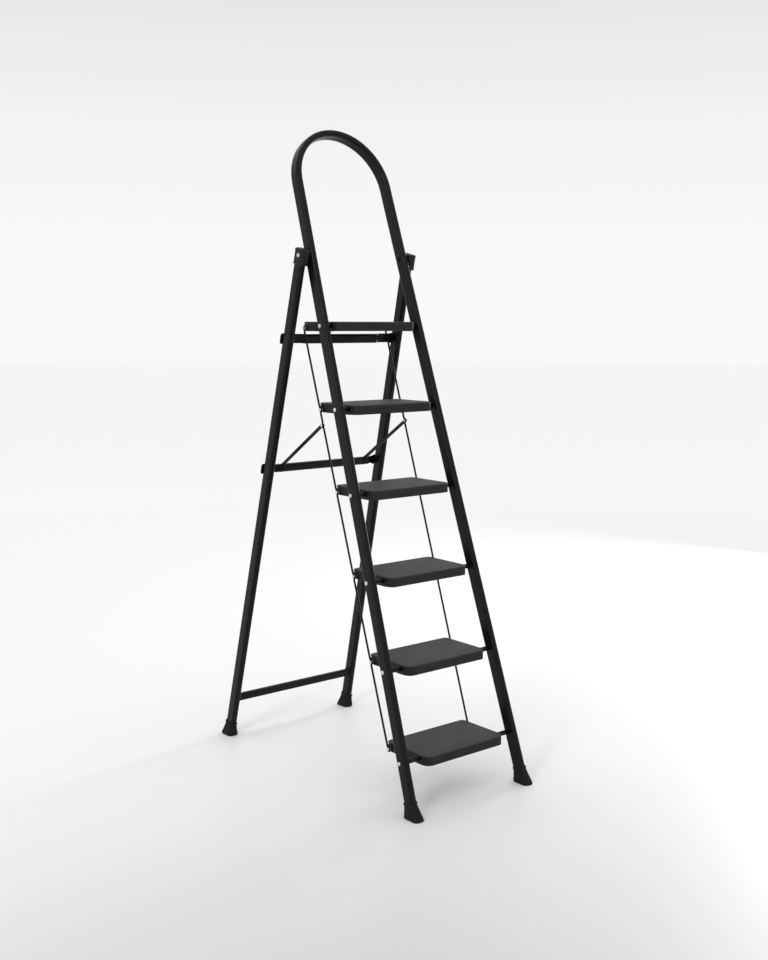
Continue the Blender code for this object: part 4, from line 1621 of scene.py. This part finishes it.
@dataclass
class LiftGear:
    """The rods that lift the steps together, and the diagonal links that drive them.

    An eye is the right half of its shape mirrored: place along the rod in eye lengths, then width and
    thickness in wire diameters. A tip is a shift past the end and a width.
    """

    bench: Bench
    layout: Layout
    wire: Wire = Wire()
    wire_facets: int = 20
    eye_length: float = 0.009
    eye: tuple[tuple[float, float, float], ...] = (
        (0.35, 2.06, 0.5), (0.6, 1.84, 0.5), (0.78, 1.5, 0.62), (0.95, 1.12, 0.86), (1.15, 1.0, 1.0)
    )
    eye_end: float = 0.6
    tips: tuple[Point, ...] = ((0.0016, 0.80), (0.0026, 0.45))
    tip_thickness: float = 0.9
    link_span: Span = (0.1580, 0.1608)
    link_half_width: float = 0.0052
    link_end_round: float = 0.999
    link_end_facets: int = 10
    link_edge: float = 0.0004
    lug_outer: float = 0.1632
    pin_facets: int = 32

    def build(self) -> None:
        """Makes both rods and both links with their rivets."""
        for name, side in SIDES.items():
            self._rod(name, side)
            self._link(name, side)
            self._studs(name, side)

    def _rod(self, name: str, side: int) -> None:
        """Forges one rod: round wire flattened to an eye at each rivet.

        Args:
            name: Name of the side.
            side: -1 on the left, 1 on the right.
        """
        front = self.layout.front
        thin = self.wire.radius / 2
        eyes = [(front.local(pin).z, -side * thin) for pin in self.layout.rod_pins]
        eyes.append((front.local(self.layout.link_top).z, side * thin))
        eyes.sort()
        depth = front.local(self.layout.rod_pins[0]).y
        shape = [(-along, wide, thick) for along, wide, thick in reversed(self.eye)] + list(self.eye)
        stations = []
        for number, (s, offset) in enumerate(eyes):
            low = -self.eye_end if number == 0 else shape[0][0]
            high = self.eye_end if number == len(eyes) - 1 else shape[-1][0]
            for along, wide, thick in shape:
                if low <= along <= high:
                    x = side * self.wire.x + offset * (1.0 - thick) * 2.0
                    stations.append(section_matrix(x, depth, s + along * self.eye_length, thick, wide))
        first, last = stations[0], stations[-1]
        for step, width in self.tips:
            stations.insert(0, self._tip(first, -step, width))
            stations.append(self._tip(last, step, width))
        blank = Blank()
        blank.sweep(blank.circle(self.wire.radius, self.wire_facets), stations)
        self.bench.deliver(
            blank, f"lift_rod_{name}", Slot.FRAME_PAINT, f"rod_{name}", [f"step_rod_{name}"], front.matrix
        )

    def _tip(self, station: Matrix, step: float, width: float) -> Matrix:
        """A narrower section just past the end of a rod.

        Args:
            station: The section at the end.
            step: How far past it the new one is.
            width: Its width as a share of the old one.

        Returns:
            The new section.
        """
        centre = Matrix.Translation(station.to_translation())
        scale = Matrix.Diagonal((self.tip_thickness, width, 1.0, 1.0))
        return Matrix.Translation((0, 0, step)) @ centre @ scale @ centre.inverted() @ station

    def _link(self, name: str, side: int) -> None:
        """Cuts one diagonal link from strip, with round ends and broken edges.

        Args:
            name: Name of the side.
            side: -1 on the left, 1 on the right.
        """
        top, bottom = self.layout.link_top, self.layout.link_bottom
        run = Vector((0.0, top.y - bottom.y, top.z - bottom.z))
        width = self.link_half_width
        half = run.length / 2 + width
        ends = (self.link_end_round * width, self.link_end_round * width)
        blank = Blank()
        strip = blank.rounded_face((-width, width), (-half, half), ends, self.link_end_facets)
        thick = Matrix.Translation((0, 0, self.link_span[1] - self.link_span[0]))
        moved = blank.draw(list(strip.edges), [Matrix.Identity(4), thick])
        bmesh.ops.edgeloop_fill(blank.bm, edges=moved)
        bmesh.ops.recalc_face_normals(blank.bm, faces=blank.bm.faces)
        level = [edge for edge in blank.bm.edges if abs(edge.verts[0].co.z - edge.verts[1].co.z) < 1e-6]
        blank.soften(level, self.link_edge)
        turn = Matrix.Rotation(math.atan2(run.z, run.y), 4, "X")
        stand = turn @ Matrix.Diagonal((side, 1.0, 1.0, 1.0)) @ SWAP_XZ
        middle = (top + bottom) / 2
        place = Matrix.Translation((side * self.link_span[0], middle.y, middle.z)) @ stand
        self.bench.deliver(
            blank, f"link_strip_{name}", Slot.FRAME_PAINT, f"diagonal_link_{name}", [f"link_{name}"], place
        )

    def _studs(self, name: str, side: int) -> None:
        """Makes the rivets at both ends of a link.

        Args:
            name: Name of the side.
            side: -1 on the left, 1 on the right.
        """
        inner, face = self.wire.x - 2 * CLEARANCE, self.wire.x + self.wire.radius
        stud = PIN_TAIL.inward(inner) + [(inner, PIN_SHANK), (face, PIN_SHANK), (face, 0.0)]
        start, outer = self.link_span[0] + CLEARANCE, self.link_span[1] + CLEARANCE
        cap = [(start, 0.0), (start, PIN_SHANK), (outer, PIN_SHANK)] + PIN_HEAD.outward(outer)
        inside, outside = self.link_span[0] - CLEARANCE, self.lug_outer + CLEARANCE
        pin = PIN_TAIL.inward(inside) + [(inside, PIN_SHANK), (outside, PIN_SHANK)]
        pin += PIN_HEAD.outward(outside)
        top, bottom = self.layout.link_top, self.layout.link_bottom
        for label, profile, point, body, node in (
            ("rod_rivet", stud, top, f"rod_{name}", f"rod_stud_{name}"),
            ("link_rivet", cap, top, f"diagonal_link_{name}", f"link_stud_{name}"),
            ("lug_rivet", pin, bottom, "rear_frame", f"link_pin_{name}"),
        ):
            self.bench.turned(
                profile, side, self.pin_facets, f"{label}_{name}", Slot.RIVET_STEEL, body, [node],
                Matrix.Translation((0, point.y, point.z)),
            )


# ---------------------------------------------------------------- studio


@dataclass(frozen=True)
class Lamp:
    """One soft studio light."""

    name: str
    place: tuple[float, float, float]
    aim: tuple[float, float, float]
    size: tuple[float, float]
    watts: float


@dataclass
class Studio:
    """A pale floor with a soft patch of painted shade, under an even sky, with soft lights and the camera."""

    floor_radius: float = 40.0
    # Painted shade on the floor: this colour near the centre, a point before the ladder, fading over the
    # radius to the floor's own pale colour.
    floor_painted_shade: tuple[float, float, float] = (0.47, 0.473, 0.48)
    floor_far: tuple[float, float, float] = (0.935, 0.938, 0.943)
    painted_shade_centre: tuple[float, float, float] = (-1.35, -1.65, 0.0)
    painted_shade_radius: float = 8.0
    painted_shade_fade: tuple[Point, ...] = (
        (0.0, 0.08), (0.115, 0.18), (0.165, 0.34), (0.228, 0.54), (0.28, 0.66), (0.40, 0.76),
        (0.60, 0.84), (1.0, 1.0),
    )
    sky: tuple[Point, ...] = (
        (0.0, 0.955), (0.06, 0.945), (0.16, 0.89), (0.26, 0.79), (0.50, 1.02), (1.0, 1.02)
    )
    camera_place: tuple[float, float, float] = (-2.1975, -2.761, 1.321)
    camera_yaw: float = 39.12
    camera_pitch: float = -7.47
    camera_roll: float = 0.10
    lens: float = 44.57
    sensor_width: float = 36.0
    lamps: tuple[Lamp, ...] = (
        Lamp("overhead_softbox", (-0.3, 0.6, 4.6), (0.0, 0.2, 0.0), (3.0, 3.0), 10.0),
        Lamp("key_softbox", (-3.6, -1.6, 2.6), (0.0, 0.0, 0.9), (0.35, 2.6), 46.0),
        Lamp("right_strip", (3.7, 0.6, 1.5), (0.0, 0.0, 0.9), (0.5, 2.6), 46.0),
    )

    def build(self) -> None:
        """Makes the floor, the lights, the sky and the camera."""
        self._floor()
        self._sky()
        for lamp in self.lamps:
            self._lamp(lamp)
        self._camera()

    def _floor(self) -> None:
        """Lays the floor: a wide disc with a soft patch of painted shade before the ladder."""
        bm = bmesh.new()
        bmesh.ops.create_circle(bm, segments=128, radius=self.floor_radius, cap_ends=True)
        mesh = bpy.data.meshes.new("studio_floor")
        bm.to_mesh(mesh)
        bm.free()
        graph = Graph(bpy.data.materials.new("studio_floor"))
        away = graph.make(
            "ShaderNodeVectorMath", {"operation": "DISTANCE"}, {0: graph.place, 1: self.painted_shade_centre}, "Value"
        )
        # Painted shade: darkest near the patch's centre, fading out to the floor's own colour.
        painted_shade_fade = graph.ramp((away / self.painted_shade_radius).clamped(), self.painted_shade_fade)
        cloud = graph.noise(1.2, 2.0)
        graph.feed(
            {
                "Base Color": graph.tint(painted_shade_fade, self.floor_painted_shade, self.floor_far),
                "Roughness": 0.42 + cloud * 0.06,
                "Specular IOR Level": 0.35,
            }
        )
        mesh.materials.append(graph.owner)
        floor = bpy.data.objects.new("studio_floor", mesh)
        bpy.context.scene.collection.objects.link(floor)

    def _sky(self) -> None:
        """Lights the room evenly, a little less from high up."""
        graph = Graph(bpy.data.worlds.new("studio_sky"), "Background", "Generated")
        height = graph.make("ShaderNodeSeparateXYZ", {}, {"Vector": graph.place}, "Z")
        graph.feed({"Color": graph.ramp(height, self.sky)})
        bpy.context.scene.world = graph.owner
        bpy.context.scene.view_settings.view_transform = "Standard"

    @staticmethod
    def _lamp(lamp: Lamp) -> None:
        """Hangs one light, which doesn't show in the picture itself.

        Args:
            lamp: Its place, aim, size and power.
        """
        data = bpy.data.lights.new(lamp.name, "AREA")
        data.shape = "RECTANGLE"
        data.size, data.size_y = lamp.size
        data.energy = lamp.watts
        made = bpy.data.objects.new(lamp.name, data)
        bpy.context.scene.collection.objects.link(made)
        made.location = lamp.place
        direction = Vector(lamp.aim) - Vector(lamp.place)
        made.rotation_euler = direction.to_track_quat("-Z", "Y").to_euler()
        made.visible_camera = False

    def _camera(self) -> None:
        """Sets up the camera."""
        data = bpy.data.cameras.new("studio_camera")
        data.lens = self.lens
        data.sensor_width = self.sensor_width
        camera = bpy.data.objects.new("studio_camera", data)
        bpy.context.scene.collection.objects.link(camera)
        turn = Matrix.Rotation(math.radians(-self.camera_yaw), 4, "Z")
        tip = Matrix.Rotation(math.radians(90.0 + self.camera_pitch), 4, "X")
        roll = Matrix.Rotation(math.radians(self.camera_roll), 4, "Z")
        camera.matrix_world = Matrix.Translation(self.camera_place) @ turn @ tip @ roll
        bpy.context.scene.camera = camera


# ---------------------------------------------------------------- the whole ladder


def main() -> None:
    """Builds every sub-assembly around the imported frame, then the studio."""
    logging.basicConfig(level=logging.INFO, format="%(name)s %(message)s")
    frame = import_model()
    layout = Layout.read(frame)
    bench = Bench()
    for kind in (HoopedFrame, RearFrame, Steps, LiftGear):
        part = kind(bench, layout)
        part.build()
        LOG.info("%s done", type(part).__name__)
    Studio().build()


if __name__ == "__main__":
    main()
